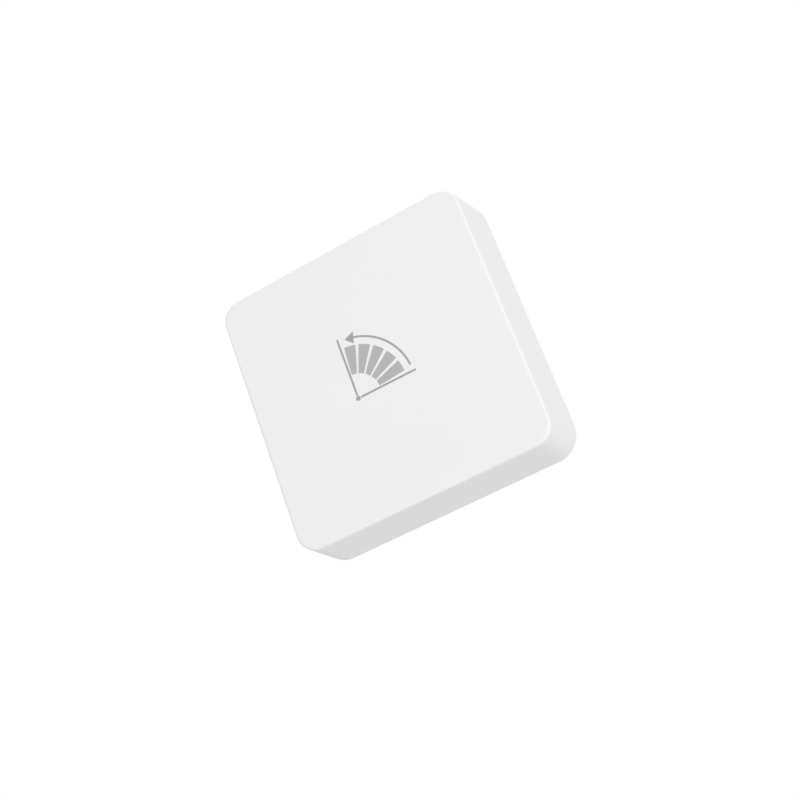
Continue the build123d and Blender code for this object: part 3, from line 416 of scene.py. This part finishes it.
def stroke(route, width, rear_y, front_y):
    """Flat line of even width along (x, z) points, with mitred corners.

    Each rail is the route moved by half the width along the mean of its two runs' normals,
    lengthened by one over the cosine of half the turn.
    """
    route = np.asarray(route, float)
    runs = np.diff(route, axis=0)
    runs /= np.linalg.norm(runs, axis=1, keepdims=True)
    normals = np.column_stack([-runs[:, 1], runs[:, 0]])
    first, last = normals[:1], normals[-1:]
    mitre = np.concatenate([first, normals]) + np.concatenate([normals, last])
    mitre *= 2 / np.sum(mitre**2, axis=1, keepdims=True)
    return slab(route - mitre * width / 2, route + mitre * width / 2, rear_y, front_y)


def polar(centre, radius, angles):
    """Points (x, z) round a centre: the radius times each angle's cosine across and sine up."""
    spokes = np.column_stack([np.cos(angles), np.sin(angles)])
    return np.asarray(centre) + radius * spokes


def rectangle(centre, width, height):
    """Corners (x, z) of an upright rectangle, half of each side from its centre, and closed."""
    signs = np.array([(-1, -1), (1, -1), (1, 1), (-1, 1), (-1, -1)])
    return np.asarray(centre) + signs * (width, height) / 2


def turned(profile, origin, axis, sides, squash=(1.0, 1.0)):
    """Rings of a turned piece: profile rows are (distance along the axis, radius).

    Each row is a circle square to the axis, widened by the squash along its two spokes.
    """
    axis = np.asarray(axis, float)
    spoke = np.array([0.0, 0.0, 1.0])
    third = np.cross(axis, spoke)
    turn = np.linspace(0, math.tau, sides, endpoint=False)[:, None]
    spokes = squash[0] * np.cos(turn) * spoke + squash[1] * np.sin(turn) * third
    profile = np.asarray(profile, float)
    return np.asarray(origin) + profile[:, :1, None] * axis + profile[:, 1:, None] * spokes


def solder_joint(place, foot, wire, height, squash=(1.0, 1.0)):
    """Solder drawn up a wire: its radius falls from foot to wire by a hollow quarter circle.

    The crown's rows then close it over the wire: (share of the height, share of the wire).
    """
    rise = np.linspace(0, 1, 9)
    radius = wire + (foot - wire) * (1 - np.sqrt(1 - (1 - rise) ** 2))
    crown = np.array([(1.06, 0.72), (1.1, 0.3), (1.11, 0.02)])
    profile = np.vstack([np.column_stack([rise, radius]), crown * (1, wire)]) * (height, 1)
    return turned(profile, place, (0, 1, 0), 20, squash)


def beside(place, across, up):
    """Point (x, z) that lies so many millimetres across and up from a place."""
    return np.array([place[0] + across * MM, place[2] + up * MM])


class SensorFinishes(bpy.types.PropertyGroup):
    """Colours of the visible pieces."""

    shell: bpy.props.FloatVectorProperty(
        name="Shell", description="White of the moulded housing", subtype="COLOR",
        default=(0.875, 0.875, 0.875), min=0.0, max=1.0,
    )
    ink: bpy.props.FloatVectorProperty(
        name="Ink", description="Grey of the printed tilt gauge", subtype="COLOR",
        default=(0.46, 0.46, 0.46), min=0.0, max=1.0,
    )


class TiltGauge(bpy.types.PropertyGroup):
    """Sizes of the tilt gauge printed on the front face."""

    pivot: bpy.props.FloatVectorProperty(
        name="Pivot", description="Gauge's pivot from the face's middle: to the right and up",
        size=2, default=(-6.1 * MM, -3.9 * MM), unit="LENGTH",
    )
    bars: bpy.props.IntProperty(
        name="Bars", description="Number of bars between level and upright", default=5, min=2,
    )
    gap: bpy.props.FloatProperty(
        name="Gap", description="Share of each bar's angle that is left bare",
        default=0.22, subtype="FACTOR", min=0.0, max=0.9,
    )
    margin: bpy.props.FloatProperty(
        name="Margin", description="Angle between a rule and the fan of bars",
        default=math.radians(2.5), unit="ROTATION",
    )
    bar_inner: bpy.props.FloatProperty(
        name="Bar start", description="Pivot to the inner ends of the bars",
        default=5.4 * MM, unit="LENGTH",
    )
    bar_outer: bpy.props.FloatProperty(
        name="Bar end", description="Pivot to the outer ends of the bars",
        default=11.7 * MM, unit="LENGTH",
    )
    arc: bpy.props.FloatProperty(
        name="Arc", description="Radius of the thin arc outside the bars",
        default=13.4 * MM, unit="LENGTH",
    )
    line: bpy.props.FloatProperty(
        name="Line", description="Width of the thin lines", default=0.45 * MM, unit="LENGTH",
    )
    film: bpy.props.FloatProperty(
        name="Film", description="Thickness of the printed film", default=0.02 * MM, unit="LENGTH",
    )


class CellSleeve(bpy.types.PropertyGroup):
    """Sizes and colours of the shrink sleeves round the two cells."""

    film: bpy.props.FloatProperty(
        name="Film", description="Thickness of the folded sleeve",
        default=0.07 * MM, unit="LENGTH",
    )
    fold: bpy.props.FloatProperty(
        name="Fold", description="How far the sleeve folds over a cell's end",
        default=0.9 * MM, unit="LENGTH",
    )
    body: bpy.props.FloatVectorProperty(
        name="Body", description="Colour of most of the sleeve", subtype="COLOR",
        default=(0.62, 0.63, 0.65), min=0.0, max=1.0,
    )
    band: bpy.props.FloatVectorProperty(
        name="Band", description="Colour of the band by the raised end", subtype="COLOR",
        default=(0.05, 0.13, 0.32), min=0.0, max=1.0,
    )


class BoardDetail(bpy.types.PropertyGroup):
    """Sizes of the print, copper and solder on the circuit board."""

    print_width: bpy.props.FloatProperty(
        name="Legend line", description="Width of the white lines on the board",
        default=0.15 * MM, unit="LENGTH",
    )
    trace_width: bpy.props.FloatProperty(
        name="Trace", description="Width of the copper traces under the mask",
        default=0.35 * MM, unit="LENGTH",
    )
    film: bpy.props.FloatProperty(
        name="Film", description="Height of print and traces over the board",
        default=0.03 * MM, unit="LENGTH",
    )
    joint: bpy.props.FloatProperty(
        name="Joint", description="Radius of the solder joints of the battery leads",
        default=1.0 * MM, unit="LENGTH",
    )


class SENSOR_OT_finishes(bpy.types.Operator):
    """Gives every carried-over piece its material"""

    bl_idname = "sensor.finishes"
    bl_label = "Finish the pieces"

    def execute(self, context):
        colours, sleeve = context.scene.sensor_finishes, context.scene.cell_sleeve
        given = {}
        for node, side in CELLS.items():
            low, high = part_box(node)
            given[node] = sleeved_cell(
                f"{node}_sleeve", tuple(sleeve.body), tuple(sleeve.band), side, low[0], high[0]
            )
        nickel = worked_metal("nickel_strip", (0.76, 0.74, 0.70), 0.28, (1.0, 6.0, 1.0))
        wire = worked_metal("spring_wire", (0.70, 0.69, 0.67), 0.26)
        steel = worked_metal("zinc_screw", (0.60, 0.61, 0.63), 0.3)
        tin = worked_metal("tinned_sheet", (0.78, 0.78, 0.77), 0.26, (6.0, 1.0, 1.0))
        black = moulded_plastic("black_moulding", (0.030, 0.030, 0.034), 0.45, cloud=0.08)
        cover = moulded_plastic("cover_plastic", (0.84, 0.84, 0.84), 0.55, relief=8e-6)
        given |= {
            "front_shell": moulded_plastic("shell_plastic", tuple(colours.shell), 0.52),
            "inner_frame": moulded_plastic("frame_plastic", (0.80, 0.80, 0.79), relief=6e-6),
            "rear_cover": cover,
            "cover_snap_arms": cover,
            "adhesive_pad": foam_tape("foam_tape", (0.16, 0.165, 0.17)),
            "circuit_board": circuit_mask("board_mask", (0.015, 0.16, 0.07), BOARD_SIDE_X),
            "radio_module_board": circuit_mask("radio_mask", (0.012, 0.03, 0.11), NO_CUT),
            "radio_shield_can": tin,
            "antenna_trace": worked_metal("antenna_gold", (0.86, 0.66, 0.30), 0.25),
            "tilt_switch_can": worked_metal("can_brass", (0.80, 0.72, 0.52), 0.24),
            "tilt_switch_base": black,
            "tilt_switch_pins": wire,
            "tilt_switch_cradle": black,
            "tilt_balls": worked_metal("ball_brass", (0.86, 0.70, 0.38), 0.12, stain=0.1),
            "tact_switch_body": black,
            "tact_switch_frame": tin,
            "tact_plunger": black,
            "pairing_button": moulded_plastic("button_plastic", (0.36, 0.37, 0.39), 0.45),
            "status_led": clear_resin("led_resin", (0.9, 0.87, 0.7)),
            "bulk_capacitor": worked_metal("capacitor_can", (0.78, 0.79, 0.80), 0.22),
            "chip_components": moulded_plastic(
                "chip_ceramic", (0.10, 0.075, 0.06), 0.4, cloud=0.1
            ),
            "positive_contact": nickel,
            "negative_contact": nickel,
            "bridge_contact": nickel,
            "negative_spring": wire,
            "bridge_spring": wire,
            "lead_red": soft_rubber("red_insulation", (0.55, 0.02, 0.02)),
            "lead_black": soft_rubber("black_insulation", (0.02, 0.02, 0.02)),
            "frame_screws": steel,
            "board_screws": steel,
        }
        for name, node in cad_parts.items():
            node.data.materials.clear()
            node.data.materials.append(given[name])
        return {"FINISHED"}


class SENSOR_OT_gauge(bpy.types.Operator):
    """Prints the tilt gauge on the front face: a fan of bars, a thin arc and two rules"""

    bl_idname = "sensor.gauge"
    bl_label = "Print the tilt gauge"

    def execute(self, context):
        gauge = context.scene.tilt_gauge
        ink = tuple(context.scene.sensor_finishes.ink)
        bars, lines = self.fan(gauge), self.outline(gauge)
        bars.build("gauge_bars", printed_ink("bar_ink", ink), "housing", "shell_white")
        lines.build("gauge_lines", printed_ink("line_ink", ink, 0.82), "housing", "shell_white")
        return {"FINISHED"}

    def fan(self, gauge):
        """Bars between level and upright, each a slab between two arcs round the pivot."""
        bars, steps = Shape(), 12
        pitch = (math.pi / 2 - 2 * gauge.margin) / gauge.bars
        for number in range(gauge.bars):
            start = gauge.margin + pitch * (number + gauge.gap / 2)
            turn = np.linspace(start, start + pitch * (1 - gauge.gap), steps)
            rails = (polar(gauge.pivot, r, turn) for r in (gauge.bar_inner, gauge.bar_outer))
            bars.add(slab(*rails, FRONT_Y, FRONT_Y - gauge.film))
        return bars

    def outline(self, gauge):
        """Arc with an arrowhead, two rules from near the pivot to past the arc, and its dot.

        The arc's rails lie half its width inside and outside its radius. In the head that half
        width falls evenly, from three lines to almost none.
        """
        lines, pivot, front = Shape(), np.array(gauge.pivot), FRONT_Y - gauge.film
        start, end, head_end, steps = 6, 74, 83, 40  # the arc's and the head's degrees
        turn = np.concatenate([np.linspace(start, end, steps), [end + 0.01, head_end]])
        turn = np.radians(turn)
        half, head = gauge.line / 2, 3.0 * gauge.line
        half_widths = np.concatenate([np.full(steps, half), [head, 0.02 * head]])
        rails = [polar(pivot, (gauge.arc + way * half_widths)[:, None], turn) for way in (-1, 1)]
        lines.add(slab(*rails, FRONT_Y, front))
        gap, dot = 1.5 * gauge.line, 1.2 * gauge.line
        reach = np.array([gap, gauge.arc + gap])[:, None]
        for direction in ((1.0, 0.0), (0.0, 1.0)):
            lines.add(stroke(pivot + reach * direction, gauge.line, FRONT_Y, front))
        rows = [(0, dot), (-gauge.film, dot)]
        lines.add(turned(rows, (pivot[0], FRONT_Y, pivot[1]), (0, 1, 0), 40))
        return lines


class SENSOR_OT_cell_sleeves(bpy.types.Operator):
    """Folds the shrink sleeves over the cells' ends and lays a washer round each raised end"""

    bl_idname = "sensor.cell_sleeves"
    bl_label = "Fold the cell sleeves"

    def execute(self, context):
        sleeve = context.scene.cell_sleeve
        body = shrink_film("sleeve_fold_body", tuple(sleeve.body))
        band = shrink_film("sleeve_fold_band", tuple(sleeve.band))
        fibre = moulded_plastic("fibre_washer", (0.035, 0.035, 0.04), 0.6, cloud=0.1)
        for node, side in CELLS.items():
            low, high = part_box(node)
            flat_end, radius = middle(node), (high[2] - low[2]) / 2
            flat_end[0] = low[0] if side > 0 else high[0]
            shoulder = flat_end + (side * (high[0] - low[0] - CELL_TIP), 0.0, 0.0)
            ends = (("minus", flat_end, side, body), ("plus", shoulder, -side, band))
            for end, place, inwards, finish in ends:
                fold = Shape()
                rings = turned(self.section(sleeve, radius), place, (inwards, 0, 0), 64)
                fold.add(rings, closed=True)
                fold.build(f"{node}_fold_{end}", finish, "housing", "cell_sleeve", smooth=True)
            washer = Shape()
            rings = turned(np.array(WASHER) * MM, shoulder, (side, 0, 0), 48)
            washer.add(rings, closed=True)
            washer.build(f"{node}_washer", fibre, "housing", "black_plastic", smooth=True)
        return {"FINISHED"}

    def section(self, sleeve, radius):
        """Section of the fold: out along the end, round a quarter circle and down the side.

        Rows are (distance from the end, radius). The outer face keeps the film's thickness off
        the cell, and the inner one is let into it.
        """
        turn = np.linspace(math.pi, math.pi / 2, 9)
        centre = (CELL_EDGE, radius - CELL_EDGE)
        outer = polar(centre, CELL_EDGE + sleeve.film, turn)
        inner = polar(centre, CELL_EDGE - SINK, turn)
        start, stop = centre[1] - sleeve.fold, 1.6 * MM
        first = [(-sleeve.film * 0.4, start), (-sleeve.film, start + sleeve.film)]
        last = [(stop, radius + sleeve.film * 0.7), (stop + sleeve.film, radius - SINK)]
        return np.vstack([first, outer, last, inner[::-1], [(SINK, start)]])


class SENSOR_OT_solder(bpy.types.Operator):
    """Solders the battery leads, the tilt switch's pins and the push switch's feet"""

    bl_idname = "sensor.solder"
    bl_label = "Solder the joints"

    def execute(self, context):
        joint = context.scene.board_detail.joint
        joints = Shape()
        tab_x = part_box("lead_red")[0][0] + LEAD_R
        contacts = {"lead_red": "positive_contact", "lead_black": "negative_contact"}
        for lead, contact in contacts.items():
            low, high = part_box(lead)
            pad = (high[0] - LEAD_R, BOARD_REAR_Y, high[2] - LEAD_R)
            joints.add(solder_joint(pad, foot=joint, wire=LEAD_R, height=joint))
            tab = (tab_x, low[1], middle(contact)[2] - 0.2 * MM)
            sizes = {"foot": 0.85 * joint, "wire": 0.6 * LEAD_R, "height": 0.95 * joint}
            joints.add(solder_joint(tab, **sizes, squash=(1.25, 1.0)))
        low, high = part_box("tilt_switch_pins")
        for x in (low[0] + PIN_R, high[0] - PIN_R):
            pin = (x, BOARD_REAR_Y, low[2] + PIN_R)
            joints.add(solder_joint(pin, foot=2.4 * PIN_R, wire=PIN_R, height=2 * PIN_R))
        low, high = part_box("tact_switch_frame")
        centre_z, inset = middle("tact_switch_frame")[2], 0.45 * MM
        sizes = {"foot": 0.5 * MM, "wire": 0.3 * MM, "height": 0.4 * MM}
        for x, up in product((low[0] + inset, high[0] - inset), (-SWITCH_CORNER, SWITCH_CORNER)):
            foot = (x, BOARD_REAR_Y, centre_z + up)
            joints.add(solder_joint(foot, **sizes, squash=(1.0, 1.35)))
        metal = solder("solder", (0.72, 0.72, 0.71))
        joints.build("solder_joints", metal, "housing", "pin_metal", smooth=True)
        return {"FINISHED"}


class SENSOR_OT_chip_ends(bpy.types.Operator):
    """Caps both ends of each small chip with tin"""

    bl_idname = "sensor.chip_ends"
    bl_label = "Cap the chips"

    def execute(self, context):
        low, high = (np.array(corner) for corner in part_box("chip_components"))
        size = np.array(CHIP)
        first, last, level = low + size / 2, high - size / 2, (low[1] + high[1]) / 2
        columns, rows = np.linspace(first[0], last[0], 4), np.linspace(first[2], last[2], 2)
        caps = Shape()
        for x, z, way in product(columns, rows, (-1, 1)):
            centre = np.array([x + way * size[0] * 0.41, level, z])
            caps.add(self.cap(centre, size * (0.2, 1.04, 1.04)))
        tin = solder("end_cap_tin", (0.7, 0.7, 0.69))
        caps.build("chip_end_caps", tin, "housing", "pin_metal", smooth=True)
        return {"FINISHED"}

    def cap(self, centre, size):
        """Rounded block: superellipse sections, smaller in the end rows, carried along X.

        A section's two ways are the cosine and sine, with their signs, to the power 0.35.
        """
        rows = np.array([-0.5, -0.42, 0.42, 0.5])[:, None]
        grow = np.array([0.9, 1.0, 1.0, 0.9])[:, None]
        turn = np.linspace(0, math.tau, 16, endpoint=False)
        across, up = (np.sign(way) * np.abs(way) ** 0.35 for way in (np.cos(turn), np.sin(turn)))
        along = np.broadcast_to(rows * size[0], (len(rows), len(turn)))
        block = (along, grow * (across * size[1] / 2), grow * (up * size[2] / 2))
        return centre + np.stack(block, axis=-1)


class SENSOR_OT_switch_stakes(bpy.types.Operator):
    """Stakes the push switch's sheet frame at its four corners"""

    bl_idname = "sensor.switch_stakes"
    bl_label = "Stake the push switch"

    def execute(self, context):
        stakes = Shape()
        spot = middle("tact_switch_frame")
        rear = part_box("tact_switch_frame")[1][1]
        for across, up in product((-SWITCH_CORNER, SWITCH_CORNER), repeat=2):
            place = (spot[0] + across, rear, spot[2] + up)
            stakes.add(turned(np.array(STAKE) * MM, place, (0, 1, 0), 20))
        black = moulded_plastic("stake_plastic", (0.03, 0.03, 0.034), 0.4, cloud=0.08)
        stakes.build("push_switch_stakes", black, "housing", "black_plastic", smooth=True)
        return {"FINISHED"}


class SENSOR_OT_board_print(bpy.types.Operator):
    """Lays the copper traces and the white legend lines on the board's rear side"""

    bl_idname = "sensor.board_print"
    bl_label = "Print the board"

    def execute(self, context):
        detail = context.scene.board_detail
        ink = printed_ink("legend_ink", (0.82, 0.82, 0.80))
        self.legend(detail).build("board_legend", ink, "housing", "board_green")
        copper = masked_copper("masked_copper", (0.03, 0.24, 0.10))
        self.traces(detail).build("board_traces", copper, "housing", "board_green")
        return {"FINISHED"}

    def legend(self, detail):
        """Broken outlines round three components, and a plus and a minus by the leads."""
        legend = Shape()
        levels = (BOARD_REAR_Y + detail.film, BOARD_REAR_Y)
        rooms = {"tact_switch_frame": 0.5, "tilt_switch_cradle": 0.6, "bulk_capacitor": 0.5}
        for node, room in rooms.items():
            low, high = (np.array(corner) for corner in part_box(node))
            size = high - low + 2 * room * MM
            outline = rectangle(middle(node)[::2], size[0], size[2])
            for start, end in zip(outline, outline[1:]):
                inset = (end - start) * 0.12
                legend.add(stroke([start + inset, end - inset], detail.print_width, *levels))
        signs = {"lead_red": ((1, 0), (0, 1)), "lead_black": ((1, 0),)}
        for lead, ways in signs.items():
            spot = beside(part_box(lead)[1], 1.6, -0.5)
            for way in ways:
                arm = np.array(way) * 0.55 * MM
                legend.add(stroke([spot - arm, spot + arm], 1.2 * detail.print_width, *levels))
        return legend

    def traces(self, detail):
        """Four lanes to the radio, four chip tails, the wide supply and the tilt signal."""
        traces = Shape()
        levels = (BOARD_REAR_Y + detail.film, BOARD_REAR_Y)
        push, chips = middle("tact_switch_frame"), middle("chip_components")
        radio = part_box("radio_module_board")[0]
        pins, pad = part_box("tilt_switch_pins")[0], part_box("lead_red")[1]
        for lane in range(4):
            start = beside(push, 4.4, -4.2 + lane * 1.6)
            knee = start + (1.2 * MM, 0.0)
            end = (radio[0] - 0.2 * MM, knee[1] + 0.8 * MM)
            traces.add(stroke([start, knee, end], detail.trace_width, *levels))
            across = -3.9 + lane * 2.6
            tail = [(across, 2.0), (across, 2.8), (across + 0.9, 3.7)]
            tail = [beside(chips, *offset) for offset in tail]
            traces.add(stroke(tail, detail.trace_width, *levels))
        supply = [
            beside(pad, 0.6, -1.5),
            beside(pad, 3.2, -1.5),
            beside(chips, -6.6, -1.0),
            beside(chips, -5.2, -1.0),
        ]
        traces.add(stroke(supply, 2 * detail.trace_width, *levels))
        leave = beside(pins, 0.25, -0.5)
        signal = [leave, (leave[0], chips[2] + 1.8 * MM), beside(chips, -5.2, 1.0)]
        traces.add(stroke(signal, detail.trace_width, *levels))
        return traces


class SENSOR_OT_moulding_marks(bpy.types.Operator):
    """Raises the fine rings that the mould's pins leave on the inner frame"""

    bl_idname = "sensor.moulding_marks"
    bl_label = "Mark the frame"

    def execute(self, context):
        rings = Shape()
        half, high, radius = 0.06 * MM, 0.03 * MM, 1.5 * MM
        rows = [
            (0, radius - half), (high, radius - half / 2),
            (high, radius + half / 2), (0, radius + half),
        ]
        for x, z in PIN_MARKS:
            place = (x * MM, FRAME_REAR_Y, z * MM)
            rings.add(turned(rows, place, (0, 1, 0), 48), closed=True)
        witness = moulded_plastic("witness_plastic", (0.80, 0.80, 0.79))
        rings.build("frame_pin_marks", witness, "housing", "frame_plastic")
        return {"FINISHED"}


class SENSOR_OT_stage(bpy.types.Operator):
    """Makes the floor, the white world, two soft lamps and the photograph's camera"""

    bl_idname = "sensor.stage"
    bl_label = "Set the stage"

    def execute(self, context):
        scene = context.scene
        scene.view_settings.view_transform = "Standard"
        self.floor(scene, radius=0.6, height=-0.4)
        self.world(scene, light=0.65)
        self.lamp(scene, "key_panel", (0.565, -0.79, -0.23), distance=1.8, size=1.4, power=15.8)
        self.lamp(scene, "top_panel", (0.05, 0.35, 1.0), distance=1.0, size=0.8, power=3.2)
        self.camera(scene)
        return {"FINISHED"}

    def floor(self, scene, radius, height):
        """Round floor below the sensor, which runs out into the white background."""
        turn = np.linspace(0, math.tau, 96, endpoint=False)
        ring = np.column_stack([np.cos(turn), np.sin(turn), np.zeros_like(turn)])
        mesh = bpy.data.meshes.new("floor")
        points = ring * radius + np.array([0.0, 0.0, height])
        mesh.from_pydata(points.tolist(), [], [list(range(len(turn)))])
        floor = bpy.data.objects.new("floor", mesh)
        scene.collection.objects.link(floor)
        finish = Finish("floor_paint")
        shade = finish.noise(scale=3.0)
        finish.colour(finish.blend(shade, tone(0.80), tone(0.82)))
        finish.rough(shade * 0.1 + 0.8)
        self.fade(finish)
        mesh.materials.append(finish.material)

    def fade(self, finish):
        """Lets the floor run out into the white background before its edge.

        The background's share is a smooth step of the distance from the floor's middle, and
        only the rays that see the background have it.
        """
        across, along = finish.axis("X"), finish.axis("Y")
        distance = (across * across + along * along).math("SQRT")
        share = finish.ramp(distance, 0.12, 0.5, start=0.35) * finish.background_rays()
        white = finish.node("ShaderNodeEmission")
        painted = Signal(finish, finish.shader.outputs[0])
        surface = finish.node("ShaderNodeMixShader", None, {0: share, 1: painted, 2: white})
        finish.feed(finish.tree.nodes["Material Output"].inputs["Surface"], surface)

    def world(self, scene, light):
        """White to the camera and in reflections, and a soft light from all around."""
        world = bpy.data.worlds.new("studio")
        world.use_nodes = True
        nodes = NodeMaker(world.node_tree)
        background = nodes.tree.nodes["Background"].inputs
        nodes.feed(background["Strength"], nodes.background_rays() * (1.0 - light) + light)
        nodes.feed(background["Color"], tone(1.0))
        scene.world = world

    def lamp(self, scene, name, away, distance, size, power):
        """Soft square panel, in a direction from the sensor's middle and turned to it."""
        panel = bpy.data.lights.new(name, "AREA")
        panel.energy = power
        panel.size = size
        holder = bpy.data.objects.new(name, panel)
        away = Vector(away).normalized()
        holder.location = Vector((0.0, FRONT_Y / 2, 0.0)) + away * distance
        holder.rotation_euler = away.to_track_quat("Z", "Y").to_euler()
        scene.collection.objects.link(holder)

    def camera(self, scene):
        """The photograph's camera: below, to the right and rolled, by its place and three axes."""
        data = bpy.data.cameras.new("photo_camera")
        data.lens = 56.42
        data.sensor_width = 36.0
        data.clip_start = 0.01
        camera = bpy.data.objects.new("photo_camera", data)
        place = Vector((77.66, -249.55, -91.70)) * MM
        right = Vector((0.85461, 0.39498, -0.33709))
        up = Vector((0.43066, -0.17642, 0.88510))
        back = Vector((0.29013, -0.90159, -0.32087))
        turn = Matrix((right, up, back)).transposed().to_4x4()
        camera.matrix_world = Matrix.Translation(place) @ turn
        scene.collection.objects.link(camera)
        scene.camera = camera


OPERATORS = (
    SENSOR_OT_stage,
    SENSOR_OT_finishes,
    SENSOR_OT_gauge,
    SENSOR_OT_cell_sleeves,
    SENSOR_OT_solder,
    SENSOR_OT_chip_ends,
    SENSOR_OT_switch_stakes,
    SENSOR_OT_board_print,
    SENSOR_OT_moulding_marks,
)


class SENSOR_PT_pieces(bpy.types.Panel):
    """Lists the steps that dress the sensor."""

    bl_idname = "SENSOR_PT_pieces"
    bl_label = "Tilt sensor"
    bl_space_type = "VIEW_3D"
    bl_region_type = "UI"
    bl_category = "Sensor"

    def draw(self, context):
        for step in OPERATORS:
            self.layout.operator(step.bl_idname)


GROUPS = {
    "sensor_finishes": SensorFinishes,
    "tilt_gauge": TiltGauge,
    "cell_sleeve": CellSleeve,
    "board_detail": BoardDetail,
}


def register():
    """Adds the settings, the steps and the panel to Blender."""
    for group in (*GROUPS.values(), *OPERATORS, SENSOR_PT_pieces):
        bpy.utils.register_class(group)
    for name, group in GROUPS.items():
        setattr(bpy.types.Scene, name, bpy.props.PointerProperty(type=group))


def unregister():
    """Takes them away again, in the opposite order."""
    for name in GROUPS:
        delattr(bpy.types.Scene, name)
    for group in reversed((*GROUPS.values(), *OPERATORS, SENSOR_PT_pieces)):
        bpy.utils.unregister_class(group)


def main():
    register()
    for step in OPERATORS:
        family, action = step.bl_idname.split(".")
        getattr(getattr(bpy.ops, family), action)()


if __name__ == "__main__":
    main()
